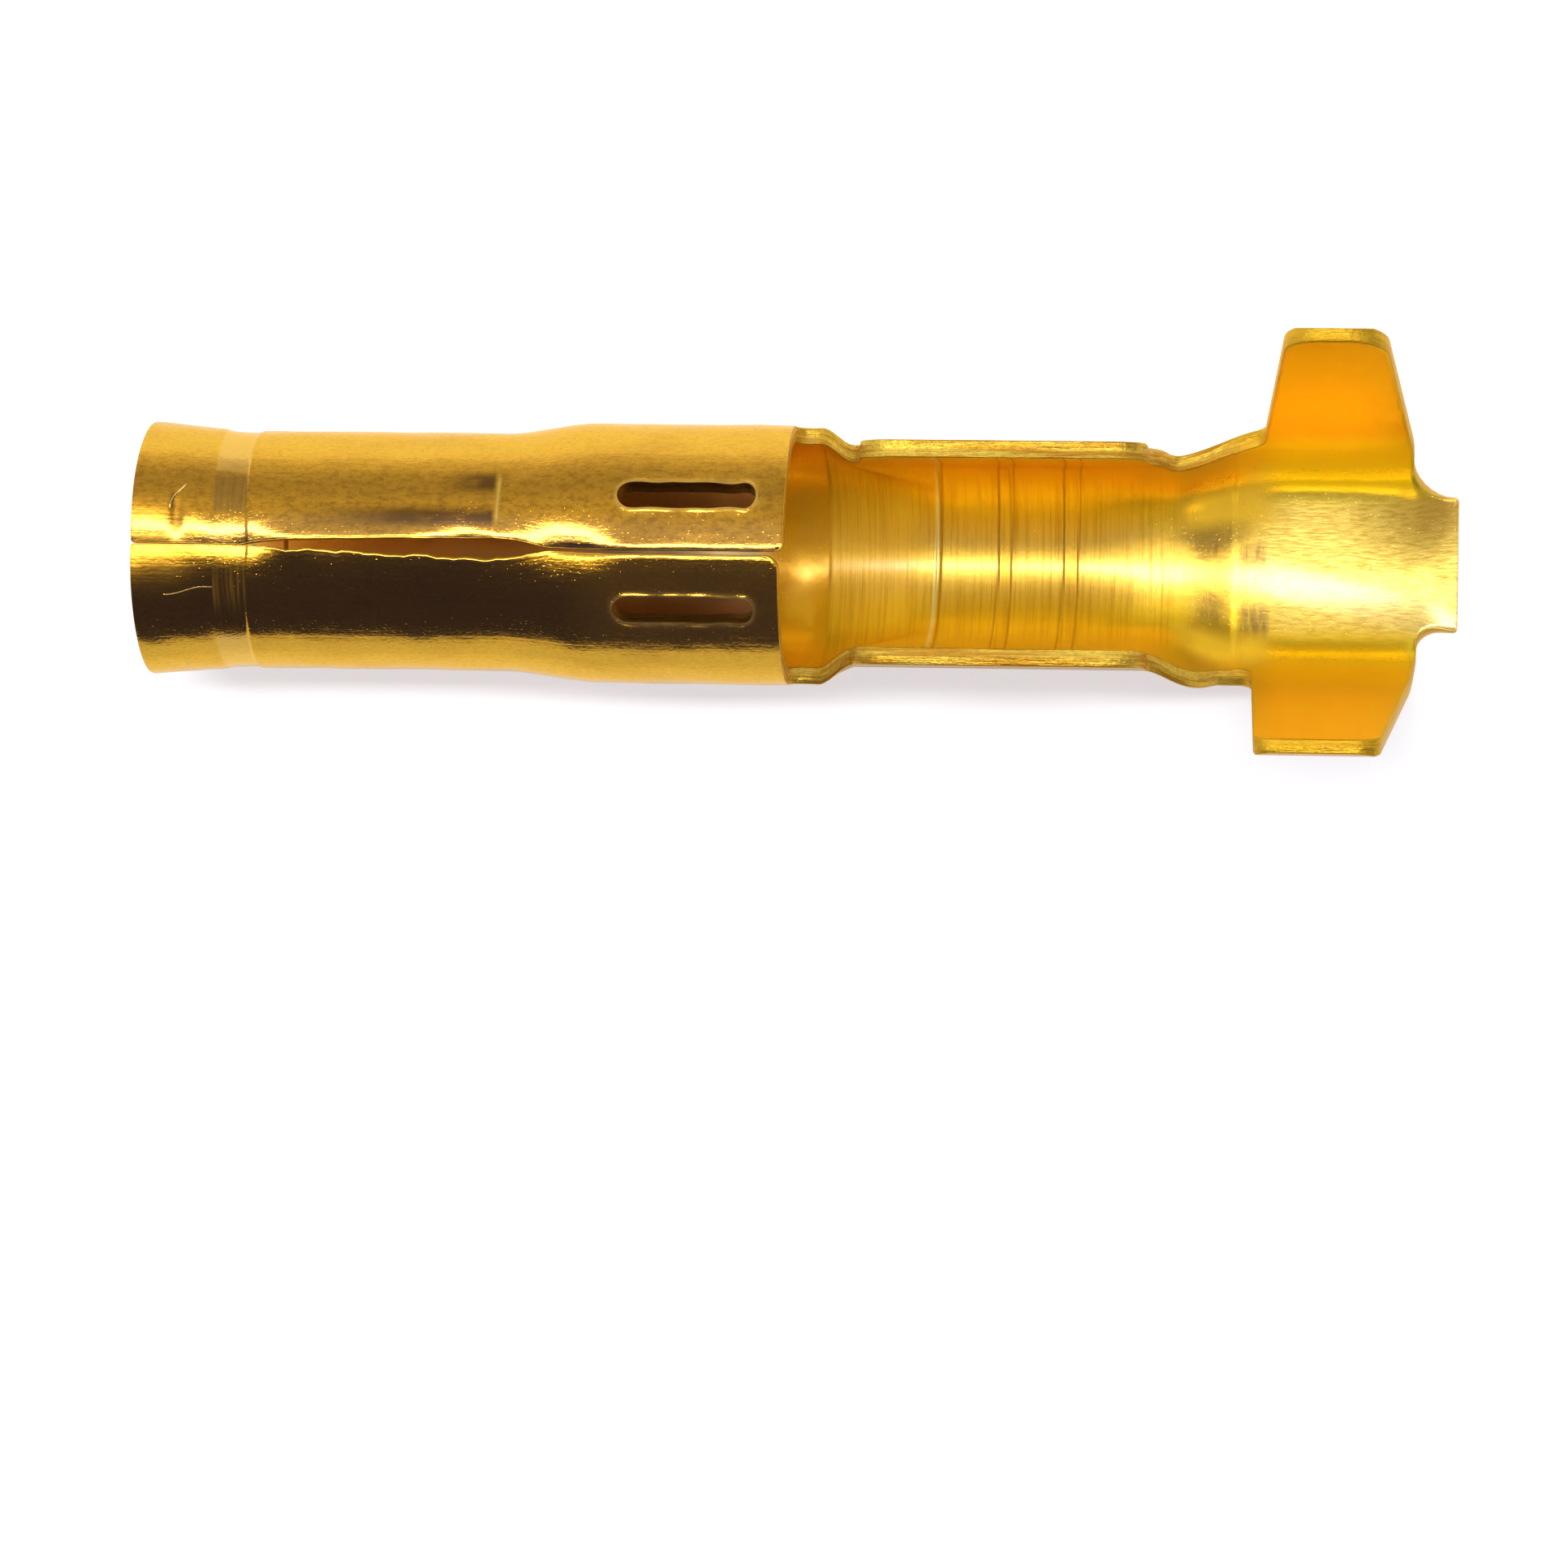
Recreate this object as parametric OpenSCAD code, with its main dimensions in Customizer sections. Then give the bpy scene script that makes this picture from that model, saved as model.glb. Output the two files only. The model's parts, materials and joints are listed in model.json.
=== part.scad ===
// Female bullet terminal, stamped and rolled from one strip of brass.
// A slit socket grips the bullet; two open barrels are crimped on a wire and on its insulation.
// Lengths run along X from the mouth, Z is up, and the seam and the barrels' wings look up.

/* [Sheet] */
// Thickness of the brass strip
sheet_t = 0.35; // [0.25:0.01:0.45]

/* [Socket] */
// Bore of the waist, which grips the bullet
bore_d = 4; // [3.4:0.05:4.6]
// Length from the mouth to the rear edge of the rolled socket
socket_len = 12.75; // [11.5:0.05:15]
// How far the mouth stands out past the waist, on the radius
mouth_flare = 0.17; // [0.05:0.01:0.4]
// Length of the flared mouth
flare_len = 1.3; // [0.8:0.05:2]
// Length of the ring rolled in behind the flare
ring_len = 0.7; // [0.4:0.05:1.2]
// Depth of that ring
ring_depth = 0.05; // [0.02:0.01:0.08]
// Length of the waist behind the ring
waist_len = 5; // [4:0.05:6]
// Length over which the waist swells to the body
swell_len = 2; // [1.2:0.05:2.4]
// How far the body stands out past the waist, on the radius
body_swell = 0.21; // [0.1:0.01:0.35]

/* [Seam and slots] */
// Width of the seam at the mouth, where its lips touch
seam_w = 0.06; // [0.04:0.01:0.12]
// Width of the seam where it springs open, at the end of the waist
seam_gap = 0.36; // [0.2:0.01:0.5]
// Width of the seam along the body
seam_rear_w = 0.14; // [0.06:0.01:0.2]
// Radius of the seam's two corners at the rear edge
seam_corner_r = 0.2; // [0.1:0.01:0.3]
// Length of each slot beside the seam
slot_len = 2.7; // [1.5:0.05:3]
// Width of each slot
slot_w = 0.55; // [0.3:0.01:0.7]
// Turn of each slot away from the seam
slot_angle = 25.5; // [20:0.5:60]
// Metal between a slot and the rear edge
slot_margin = 0.55; // [0.3:0.05:0.8]

/* [Neck] */
// Length of the neck that keeps the body's radius
neck_len = 0.5; // [0.3:0.05:0.9]
// Length over which the neck narrows to the wire barrel
neck_taper = 0.7; // [0.5:0.05:1.2]
// How far the neck's cut edges lie under the socket's axis
neck_cut = 0.34; // [0.1:0.01:0.8]

/* [Wire barrel] */
// Inside diameter of the wire barrel
wire_d = 3.66; // [3:0.02:4]
// Length of the wire barrel
wire_len = 5.8; // [5:0.05:7]
// How far the barrel's centre lies under the socket's axis
wire_drop = 0.19; // [0:0.01:0.3]
// Height of the wings over the socket's axis
wire_h = 2.17; // [1.6:0.01:3]
// Set-back of the wings' front edge behind the neck
wire_setback = 0.3; // [0.15:0.05:0.5]
// How much the wings' front edge leans back to its top
wire_lean = 0.2; // [0:0.05:0.4]
// Height of the wings' foot over the socket's axis
wire_foot = 0.2; // [0:0.05:0.5]
// Number of grooves that bite the wire
groove_count = 3; // [1:1:4]
// Pitch of the grooves
groove_pitch = 1.3; // [0.8:0.05:1.5]
// Width of a groove
groove_w = 0.12; // [0.08:0.01:0.2]
// Depth of a groove
groove_depth = 0.05; // [0.02:0.01:0.1]

/* [Insulation barrel] */
// Inside diameter of the insulation barrel
ins_d = 4.7; // [4.2:0.05:5.4]
// Length of the insulation barrel
ins_len = 3.6; // [3.2:0.05:4.6]
// Length over which the wire barrel widens to the insulation barrel
widen_len = 1.5; // [1.2:0.05:2]
// Height of the wings over the socket's axis
ins_h = 4.8; // [4:0.05:5.6]
// Lean of each wing away from upright
ins_splay = 15; // [5:1:20]
// How far the edges between the barrels lie under the socket's axis
ins_cut = 1.15; // [0.6:0.05:1.3]
// Set-back of the wings' front edge behind the widening
ins_setback = 0.63; // [0.4:0.01:0.8]
// How much each wing's front edge leans back to its tip
ins_taper_front = 0.27; // [0:0.01:0.4]
// How much each wing's rear edge leans forward to its tip
ins_taper_rear = 0.58; // [0:0.01:0.7]

/* [Edges] */
// Radius of the wings' corners
wing_r = 0.65; // [0.3:0.05:0.75]
// Radius in the notches between the wings
notch_r = 0.3; // [0.1:0.05:0.4]
// Height of the bevel coined on the wings' outer edge
coin_h = 0.25; // [0.1:0.01:0.35]
// Depth of that bevel into the sheet
coin_t = 0.12; // [0.05:0.01:0.15]

/* [Tail] */
// Width of the flat tail where the terminal was cut from its strip
tail_w = 2.72; // [2:0.02:3.2]
// Length of the tail behind the insulation barrel
tail_len = 0.98; // [0.8:0.02:1.6]
// Radius where the tail meets the barrel
tail_r = 0.75; // [0.4:0.05:0.8]

/* [Hidden] */
$fn = 96;

// Outer radii
waist_r = bore_d / 2 + sheet_t;
body_r = waist_r + body_swell;
wire_r = wire_d / 2 + sheet_t;
ins_r = ins_d / 2 + sheet_t;

// Stations along the terminal, from the mouth
ring_end = flare_len + ring_len;
waist_end = ring_end + waist_len;
neck_end = socket_len + neck_len;
wire_x = neck_end + neck_taper;
wire_end = wire_x + wire_len;
ins_x = wire_end + widen_len;
ins_end = ins_x + ins_len;
total_len = ins_end + tail_len;

// The lowest faces of the barrels' floors, from the socket's axis
wire_floor = -wire_drop - wire_r;
ins_floor = -ins_r;
lowest = min(-body_r, wire_floor, ins_floor);

// Where the wings' front edges stand, and the run of the slope between them
wire_wing_x = wire_x + wire_setback;
ins_wing_x = ins_x + ins_setback;
notch_slope = ins_cut + wire_foot;

// Steps of the curves and of the lofts
flare_steps = 6;
ring_steps = 8;
swell_steps = 6;
loft_steps = 6;
sheet_steps = 24;

// A loft starts and ends inside its neighbours' walls: how far in, and how far under their faces
lap = 0.1;
loft_inset = 0.012;
// Room that a cutting shape has past what it cuts
past = 1;
reach = 2 * (ins_r + ins_h);

function mix(a, b, t) = a + (b - a) * t;
function ease(t) = t * t * (3 - 2 * t);
function clamp01(t) = min(max(t, 0), 1);

// Outer radius of the socket at a station: flare, ring, waist, swell and body in one line
function flare_at(x) = mouth_flare * pow(1 - clamp01(x / flare_len), 2);
function ring_at(x) = ring_depth * (1 - cos(360 * clamp01((x - flare_len) / ring_len))) / 2;
function swell_at(x) = body_swell * ease(clamp01((x - waist_end) / swell_len));
function socket_r(x) = waist_r + flare_at(x) - ring_at(x) + swell_at(x);

function steps(from, to, count) = [for (i = [0 : count - 1]) mix(from, to, i / count)];

// A section of the formed sheet is its curvature, the turn of its arc and the level of its floor.
function section(r, turn, floor_z) = [1 / r, turn, floor_z];

// A point of the sheet: s runs along the outer face from the floor's middle, depth goes into the sheet
function sheet_point(s, sec, depth) =
    let (
        arc = sec[1] * PI / 180 / sec[0],
        turn = min(abs(s) * sec[0] * 180 / PI, sec[1]),
        wall = max(abs(s) - arc, 0),
        side = s < 0 ? -1 : 1,
        y = sin(turn) / sec[0] + wall * cos(sec[1]) - depth * sin(turn),
        z = sec[2] + (1 - cos(turn)) / sec[0] + wall * sin(sec[1]) + depth * cos(turn)
    )
    [side * y, z];

// The sheet between two sections, which eases from the first to the second.
// It laps into the wall in front of it, and into the one behind it unless its rear end is free.
module formed_loft(x_from, x_to, sec_from, sec_to, half_w, rear_lap = lap) {
    stations = [
        [x_from - lap, 0],
        for (i = [0 : loft_steps]) [mix(x_from, x_to, i / loft_steps), ease(i / loft_steps)],
        if (rear_lap > 0) [x_to + rear_lap, 1]
    ];
    last = len(stations) - 1;
    edge = sheet_steps;
    row = edge + 1;
    layer = len(stations) * row;
    function at(face, i, j) = face * layer + i * row + j;
    points = [
        for (depth = [loft_inset, sheet_t - loft_inset], station = stations, j = [0 : edge])
            let (
                sec = mix(sec_from, sec_to, station[1]),
                p = sheet_point(mix(-half_w, half_w, j / edge), sec, depth)
            )
            [station[0], p[0], p[1]]
    ];
    faces = [
        for (i = [0 : last - 1], j = [0 : edge - 1])
            each [
                [at(0, i, j), at(0, i + 1, j), at(0, i + 1, j + 1), at(0, i, j + 1)],
                [at(1, i, j), at(1, i, j + 1), at(1, i + 1, j + 1), at(1, i + 1, j)]
            ],
        for (j = [0 : edge - 1])
            each [
                [at(0, 0, j), at(0, 0, j + 1), at(1, 0, j + 1), at(1, 0, j)],
                [at(0, last, j), at(1, last, j), at(1, last, j + 1), at(0, last, j + 1)]
            ],
        for (i = [0 : last - 1])
            each [
                [at(0, i, 0), at(1, i, 0), at(1, i + 1, 0), at(0, i + 1, 0)],
                [at(0, i, edge), at(0, i + 1, edge), at(1, i + 1, edge), at(1, i, edge)]
            ]
    ];
    polyhedron(points, faces);
}

// Filled outline of a trough: a round floor of the given turn each way, with straight sides up to the top
module trough_fill(r, turn, top) {
    foot = [r * sin(turn), -r * cos(turn)];
    out = (top - foot[1]) / tan(turn);
    difference() {
        circle(r);
        translate([-2 * r, foot[1]]) square([4 * r, 2 * r + past]);
    }
    polygon([[-foot[0], foot[1]], foot, [foot[0] + out, top], [-foot[0] - out, top]]);
}

// Section of an open barrel, with the bevel coined along the outer edge of each wing
module barrel_section(r, turn, top) {
    tip = r * sin(turn) + (top + r * cos(turn)) / tan(turn);
    difference() {
        trough_fill(r, turn, top);
        trough_fill(r - sheet_t, turn, top + past);
        for (side = [0, 1])
            mirror([side, 0])
                polygon([[tip - coin_t, top], [tip, top + coin_t], [tip + coin_t, top],
                         [tip - coin_h / tan(turn), top - coin_h]]);
    }
}

// Stands a section drawn in Y and Z along X
module along(x, len) {
    translate([x, 0, 0])
        rotate([90, 0, 90])
            linear_extrude(height = len)
                children();
}

// The rolled socket, with the neck as a full round behind it
module socket_tube() {
    stations = concat(
        steps(0, flare_len, flare_steps),
        steps(flare_len, ring_end, ring_steps),
        [ring_end],
        steps(waist_end, waist_end + swell_len, swell_steps),
        [waist_end + swell_len, neck_end]
    );
    count = len(stations);
    outside = [for (x = stations) [socket_r(x), x]];
    inside = [for (i = [1 : count]) outside[count - i] - [sheet_t, 0]];
    rotate([0, 90, 0])
        rotate_extrude()
            polygon(concat(outside, inside));
}

module wire_barrel() {
    translate([0, 0, -wire_drop])
        along(wire_x, wire_len)
            barrel_section(wire_r, 90, wire_h + wire_drop);
}

module insulation_barrel() {
    along(ins_x, ins_len + lap)
        barrel_section(ins_r, 90 - ins_splay, ins_h);
}

// The three stretches where the sheet passes from one section to the next
module formed_stretches() {
    body_sec = section(body_r, 90, -body_r);
    wire_sec = section(wire_r, 90, wire_floor);
    ins_sec = section(ins_r, 90 - ins_splay, ins_floor);
    flat_sec = section(100 * ins_r, 90 - ins_splay, ins_floor);
    formed_loft(neck_end, wire_x, body_sec, wire_sec, PI / 2 * body_r);
    formed_loft(wire_end, ins_x, wire_sec, ins_sec, PI / 2 * wire_r + wire_foot + 2 * wire_drop);
    formed_loft(ins_end + lap, total_len, ins_sec, flat_sec, tail_w / 2 + tail_r + lap, 0);
}

// What is left of the sheet seen from the side: socket, notch, wire wing, notch, insulation wing
module side_outline() {
    offset(r = -notch_r) offset(delta = notch_r)
        offset(r = wing_r) offset(delta = -wing_r)
            polygon([
                [-past, -reach], [-past, reach], [socket_len, reach], [socket_len, -neck_cut],
                [neck_end, -neck_cut], [wire_wing_x - lap, wire_foot],
                [wire_wing_x, wire_foot], [wire_wing_x + wire_lean, wire_h], [wire_end, wire_h],
                [wire_end, wire_foot], [wire_end + notch_slope, -ins_cut], [ins_wing_x, -ins_cut],
                [ins_wing_x + ins_taper_front, ins_h], [ins_end - ins_taper_rear, ins_h], [ins_end, 0],
                [ins_end, ins_floor / 2], [total_len + past, ins_floor / 2], [total_len + past, -reach]
            ]);
}

module side_trim() {
    rotate([90, 0, 0])
        linear_extrude(height = 2 * reach, center = true)
            side_outline();
}

// What is left of the sheet seen from above: everything up to the insulation wings, and the narrow tail
module plan_trim() {
    translate([0, 0, -reach])
        linear_extrude(height = 2 * reach)
            offset(r = -tail_r) offset(delta = tail_r)
                polygon([
                    [-past, -reach], [ins_end, -reach], [ins_end, -tail_w / 2], [total_len + past, -tail_w / 2],
                    [total_len + past, tail_w / 2], [ins_end, tail_w / 2], [ins_end, reach], [-past, reach]
                ]);
}

// The slit where the rolled edges meet: shut at the mouth, sprung open at the end of the waist
module seam() {
    widths = [
        [-past, seam_w], [ring_end, seam_w], [waist_end, seam_gap],
        [waist_end + swell_len, seam_rear_w], [neck_end, seam_rear_w]
    ];
    upper_lip = [for (w = widths) [w[0], w[1] / 2]];
    lower_lip = [for (i = [len(widths) - 1 : -1 : 0]) [widths[i][0], -widths[i][1] / 2]];
    linear_extrude(height = reach)
        offset(r = -seam_corner_r) offset(delta = seam_corner_r) {
            polygon(concat(upper_lip, lower_lip));
            translate([socket_len, -reach]) square([neck_len, 2 * reach]);
        }
}

module slots() {
    front = socket_len - slot_margin - slot_len;
    for (side = [-1, 1])
        rotate([side * slot_angle, 0, 0])
            linear_extrude(height = reach)
                hull()
                    for (x = [front + slot_w / 2, front + slot_len - slot_w / 2])
                        translate([x, 0]) circle(slot_w / 2, $fn = 24);
}

// Grooves across the inside of the wire barrel
module grooves() {
    middle = (wire_wing_x + wire_end) / 2;
    inner_r = wire_r - sheet_t;
    for (i = [0 : groove_count - 1])
        translate([0, 0, -wire_drop])
            along(middle + (i - (groove_count - 1) / 2) * groove_pitch - groove_w / 2, groove_w)
                difference() {
                    trough_fill(inner_r + groove_depth, 90, wire_h + past);
                    trough_fill(inner_r - groove_depth, 90, wire_h + 2 * past);
                }
}

module socket_terminal() {
    color("goldenrod")
        translate([-total_len / 2, 0, -lowest])
            difference() {
                intersection() {
                    union() {
                        socket_tube();
                        wire_barrel();
                        insulation_barrel();
                        formed_stretches();
                    }
                    side_trim();
                    plan_trim();
                }
                seam();
                slots();
                grooves();
            }
}

socket_terminal();
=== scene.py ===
"""Female bullet terminal of sheet brass: a flat blank is cut, rolled and formed, then finished and lit."""
import json
import math
from types import SimpleNamespace

import bmesh
import bpy
import numpy as np
from mathutils import Matrix, Vector


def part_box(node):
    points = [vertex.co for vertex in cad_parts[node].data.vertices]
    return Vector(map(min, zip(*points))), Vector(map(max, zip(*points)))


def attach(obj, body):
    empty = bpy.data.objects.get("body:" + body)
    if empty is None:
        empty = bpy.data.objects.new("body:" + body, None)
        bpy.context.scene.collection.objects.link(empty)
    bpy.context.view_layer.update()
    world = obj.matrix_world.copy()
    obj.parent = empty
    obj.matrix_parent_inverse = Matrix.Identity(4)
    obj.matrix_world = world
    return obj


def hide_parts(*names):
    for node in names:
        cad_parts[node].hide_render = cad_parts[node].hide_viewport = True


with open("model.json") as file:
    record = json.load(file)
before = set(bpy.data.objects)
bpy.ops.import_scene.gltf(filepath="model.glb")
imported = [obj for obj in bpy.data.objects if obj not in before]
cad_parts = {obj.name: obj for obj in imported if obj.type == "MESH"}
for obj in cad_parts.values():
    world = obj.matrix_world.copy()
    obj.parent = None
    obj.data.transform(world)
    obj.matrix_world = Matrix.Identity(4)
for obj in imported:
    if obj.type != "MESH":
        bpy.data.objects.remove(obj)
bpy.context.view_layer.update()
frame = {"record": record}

# Sizes taken from the frame. Lengths are in millimetres, and stations run from the mouth.
MM = 0.001
TERMINAL = "socket_terminal"
low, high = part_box(TERMINAL)
mounts = {mount["name"]: mount for mount in frame["record"]["mounts"]}


def bore_of(name):
    """Radius of a mount's bore, and the stations where it starts and ends."""
    mount = mounts[name]
    middle = (mount["pos_m"][0] - low.x) / MM
    half = mount["dims"]["length_mm"] / 2
    return mount["dims"]["r_mm"], middle - half, middle + half


GRIP_BORE, _, GRIP_END = bore_of("socket_bore")
WIRE_BORE, WIRE_START, WIRE_END = bore_of("wire_crimp")
INS_BORE, INS_START, _ = bore_of("insulation_crimp")
TOTAL = (high.x - low.x) / MM
AXIS_Z = mounts["socket_bore"]["pos_m"][2]

# The strip
SHEET = 0.35
WAIST_R = GRIP_BORE + SHEET
WIRE_R = WIRE_BORE + SHEET
INS_R = INS_BORE + SHEET

# The rolled socket, the neck behind it and the widening
SOCKET_LEN = 12.75
MOUTH_FLARE = 0.165
FLARE_LEN = 2.4
FLARE_CURVE = 1.6
RING_START = 1.6
RING_LEN = 0.7
RING_DEPTH = 0.035
RING_EDGE = 0.05
RING_SOFT = 0.22
RING_BOW = 0.1
BODY_SWELL = 0.21
SWELL_LEN = 2.0
BODY_R = WAIST_R + BODY_SWELL
NECK_END = SOCKET_LEN + 0.5
NECK_CUT = 0.34
NECK_RUN = 3.2
NECK_DIP = 0.045
NECK_DIP_W = (0.85, 2.0)
NECK_SOFT = (math.radians(35), math.radians(80))
WIDE_SOFT = (math.radians(15), math.radians(88))
WIDE_FLOOR = (20.25, 22.05)

# The barrels and the tail
WIRE_DROP = 0.19
WIRE_FLOOR = -WIRE_DROP - WIRE_R
WIRE_H = 2.17
WIRE_FOOT = 0.2
WIRE_LEAN = 0.2
INS_LEN = 3.6
INS_END = INS_START + INS_LEN
INS_H = 4.8
COIN_H = 0.25
COIN_T = 0.1
SLANT_H = 0.5
TIP_SLANT = {1: 0.05, -1: 0.1}
TAIL_FLAT = 0.83
# How far each half's floor is flattened from a true arc, and how far it is rolled, at stations
BLEND_STEPS = np.linspace(-0.3, 0.3, 9)
FLOOR_STATIONS = (12.4, 13.0, 13.5, 18.4, 19.2, 19.9, 20.5, 21.4, 22.4, 23.6, 24.8, 25.8)
FLOOR_FLAT = {
    1: (0.0, 0.35, 0.0, 0.0, 0.3, 0.6, 0.5, 0.6, 0.9, 0.9, 0.7, 0.0),
    -1: (0.0, 0.35, 0.0, 0.0, 0.3, 0.6, 0.5, 0.55, 0.7, 0.7, 0.62, 0.4),
}
FLOOR_ROLL = (0.0, -0.05, 0.0, 0.0, 0.0, 0.0, 0.0, 0.0, 0.008, 0.006, -0.01, 0.0)
FLOOR_SOFT = (math.radians(33), math.radians(48))

# Roundings of the blank's corners and edges. The two angles are in radians.
WING_ROUND = 0.65
NOTCH_ROUND = 0.25
NECK_ROUND = 0.4
CORNER_ROUND = 0.07
CORNER_STEPS = 8
EDGE_STEPS = 2
EDGE_ROUND = 0.035
EDGE_BAND = 0.06
SHARP_EDGE = 1
LEVEL_EDGE = 0.01

# What differs between half 1 of the blank, towards +Y, and half -1, towards -Y. The splay is in degrees.
HALVES = (1, -1)
SPLAY = {1: 16.9, -1: 13.0}
WIRE_FRONT = {1: 14.05, -1: 13.95}
NOTCH_END = {1: 20.2, -1: 21.1}
NOTCH_LEVEL = {1: -0.85, -1: -1.15}
INS_FOOT = {1: -0.6, -1: -1.15}
RIM_WIDE = {1: (20.1, 22.15), -1: (19.65, 21.0)}
WING_REAR = {1: 24.92, -1: 25.02}
WING_FOOT = {1: -1.2, -1: -1.9}
INS_FRONT = {1: 21.98, -1: 21.78}
TIP_FRONT = {1: 22.42, -1: 21.92}
TIP_REAR = {1: 24.28, -1: 24.26}
TIP_ROUND = {1: 0.7, -1: 0.42}
TIP_REAR_ROUND = {1: 0.9, -1: 0.55}
TAIL_HALF = {1: 1.41, -1: 1.3}
TAIL_ROUND = {1: 1.1, -1: 0.5}
SEAM_ROUND = {1: 0.16, -1: 0.3}
REAR_SKEW = {1: 0.05, -1: -0.05}

# Slots beside the seam, with their turn from the top line in degrees
SLOT_FRONT = {1: 9.55, -1: 9.48}
SLOT_LEN = {1: 2.68, -1: 2.72}
SLOT_W = {1: 0.52, -1: 0.58}
SLOT_TURN = {1: 24.3, -1: 26.9}
SLOT_BURR = 0.03
SLOT_BURR_W = 0.07
SLOT_END_ROUND = 0.98
SLOT_WAVE = 0.025
SLOT_WAVE_LEN = 0.8
SLOT_WAVE_REACH = 0.15

# How wide the rims are rubbed bright, partly wear and partly painted highlight, how bright, and how uneven:
# the level, the swing and its wavelength
LIP_WEAR_W = 0.045
LIP_WEAR = (0.6, 0.4, 0.6)
SLOT_WEAR_W = 0.07
SLOT_WEAR = (0.75, 0.25, 0.4)
BURR_UNEVEN = (1, 0.5, 0.5)

# Lips of the seam: how far each stands from the top line, at stations along the socket
LIP_STATIONS = (0.0, 2.15, 2.55, 3.5, 7.1, 7.6, 8.2, 9.0, 12.8)
LIP_GAP = {
    1: (0.005, 0.005, 0.08, 0.12, 0.18, 0.14, 0.0, -0.03, -0.03),
    -1: (0.005, 0.005, 0.05, 0.08, 0.23, 0.2, 0.06, 0.1, 0.11),
}
LIP_RAGGED = 0.022
UPPER_RAGGED = 0.2
# Waves of the torn lips, as wavelength and share, and how abrupt the tears are
LIP_TEARS = ((0.75, 1), (0.33, 0.5))
TEAR_STEEP = 3
# How far round from the seam the lips are moved, and how their edges roll in
LIP_TURN = 0.6
LIP_BLUR = 0.4
LIP_ROLL = 0.015
LIP_ROLL_W = 0.17
BODY_LIP_ROLL = 0.025
BODY_LIP_ROLL_W = 0.1
WAIST_SPAN = (2.3, 8.1)
WAIST_BLUR = 0.5

# How each lip is sprung out (+) or rolled in (-), at stations along the socket
SPRING_STATIONS = (0.0, 1.2, 2.4, 3.2, 5.4, 6.6, 7.3, 8.3, 9.0, 9.8, 12.8)
SPRING = {
    1: (-0.1, -0.08, -0.07, 0.11, 0.11, -0.04, 0.05, -0.07, -0.06, 0.1, 0.1),
    -1: (-0.075, -0.04, -0.08, 0.07, 0.07, 0.07, 0.05, -0.05, -0.04, 0.05, 0.05),
}
SPRING_W = 1.3

# Marks of the tools
DENT_AT = 0.88
DENT_ABOVE = 0.7
DENT_DEPTH = 0.07
DENT_SIZE = (0.13, 0.5)
TOOL_LINE = 7.18
TOOL_LINE_DEPTH = 0.014
TOOL_LINE_W = 0.035
TOOL_LINE_SPAN = (0.25, 1.7)
TOOL_LINE_BLUR = 0.2
# Waves left in the rolled sheet: wavelength and height
WOBBLES = ((1.9, 0.011), (0.75, 0.0035))
# The step in the neck, the grooves of the wire barrel and the crease in front of the tail
STEP_AT = 13.29
STEP_RISE = 0.008
STEP_W = 0.04
STEP_FADE = (1, 3)
GROOVES = ((15.42, 15.56), (16.68, 16.97), (17.98, 18.3))
GROOVE_DEPTH = 0.03
GROOVE_EDGE = 0.05
GROOVE_TURN = math.radians(70)
GROOVE_FADE = math.radians(18)
CREASE_AT = 21.4
CREASE_RISE = 0.03
CREASE_W = 0.12
CREASE_FADE = (0.1, 1.2)

# Steps of the grid that the blank is scored with before it is bent
STEP_ALONG = 0.11
STEP_FINE = 0.033
FINE_MARGIN = (0.4, 0.1)
STEP_AROUND = BODY_R * math.radians(2.7)
FINE_STEPS = (-0.07, -0.045, -0.02, 0.0, 0.02, 0.045, 0.07)
SEAM_STEPS = (0.04, 0.13, 0.17, 0.25)
SAME_PLACE = 1e-5


def ramp(x, start, length):
    return np.clip((np.asarray(x, float) - start) / length, 0, 1)


def ease(t):
    return t * t * (3 - 2 * t)


def mix(a, b, t):
    return a + (b - a) * t


def bell(x, middle, half):
    return np.exp(-(((x - middle) / half) ** 2))


def ripple(x, across, wavelength):
    """A smooth uneven field between about -1 and 1, made of crossing waves."""
    k = 2 * math.pi / wavelength
    return (np.sin(k * x + 1.3 * np.sin(0.7 * k * across))
            + np.sin(k * (0.62 * across - 0.71 * x) + 0.8)
            + np.sin(k * (0.83 * across + 0.44 * x) + 2.3)) / 3


def uneven(x, across, level, swing, wavelength):
    return level + swing * ripple(x, across, wavelength)


def neck_share(x, angle):
    """How far the section has narrowed to the wire barrel: softly along the floor, briskly at the rims."""
    rim = ease(ramp(angle, NECK_SOFT[0], NECK_SOFT[1] - NECK_SOFT[0]))
    return ease(ramp(x, NECK_END, mix(NECK_RUN, WIRE_START - NECK_END, rim)))


def widening_share(x, angle, half):
    """How far the section has widened to the insulation barrel, along the floor and at each rim."""
    rim = ease(ramp(angle, WIDE_SOFT[0], WIDE_SOFT[1] - WIDE_SOFT[0]))
    start = np.where(np.asarray(half) > 0, RIM_WIDE[1][0], RIM_WIDE[-1][0])
    end = np.where(np.asarray(half) > 0, RIM_WIDE[1][1], RIM_WIDE[-1][1])
    start, end = mix(WIDE_FLOOR[0], start, rim), mix(WIDE_FLOOR[1], end, rim)
    return ease(ramp(x, start, end - start))


def socket_radius(x):
    """Outer radius of the rolled socket: flare, waist, swell and body."""
    flare = MOUTH_FLARE * (1 - ramp(x, 0, FLARE_LEN)) ** FLARE_CURVE
    swell = BODY_SWELL * ease(ramp(x, GRIP_END, SWELL_LEN))
    return WAIST_R + flare + swell


def outer_radius(x, half, angle=math.pi / 2):
    narrowed = mix(socket_radius(x), WIRE_R, neck_share(x, angle))
    return mix(narrowed, INS_R, widening_share(x, angle, half))


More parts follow.
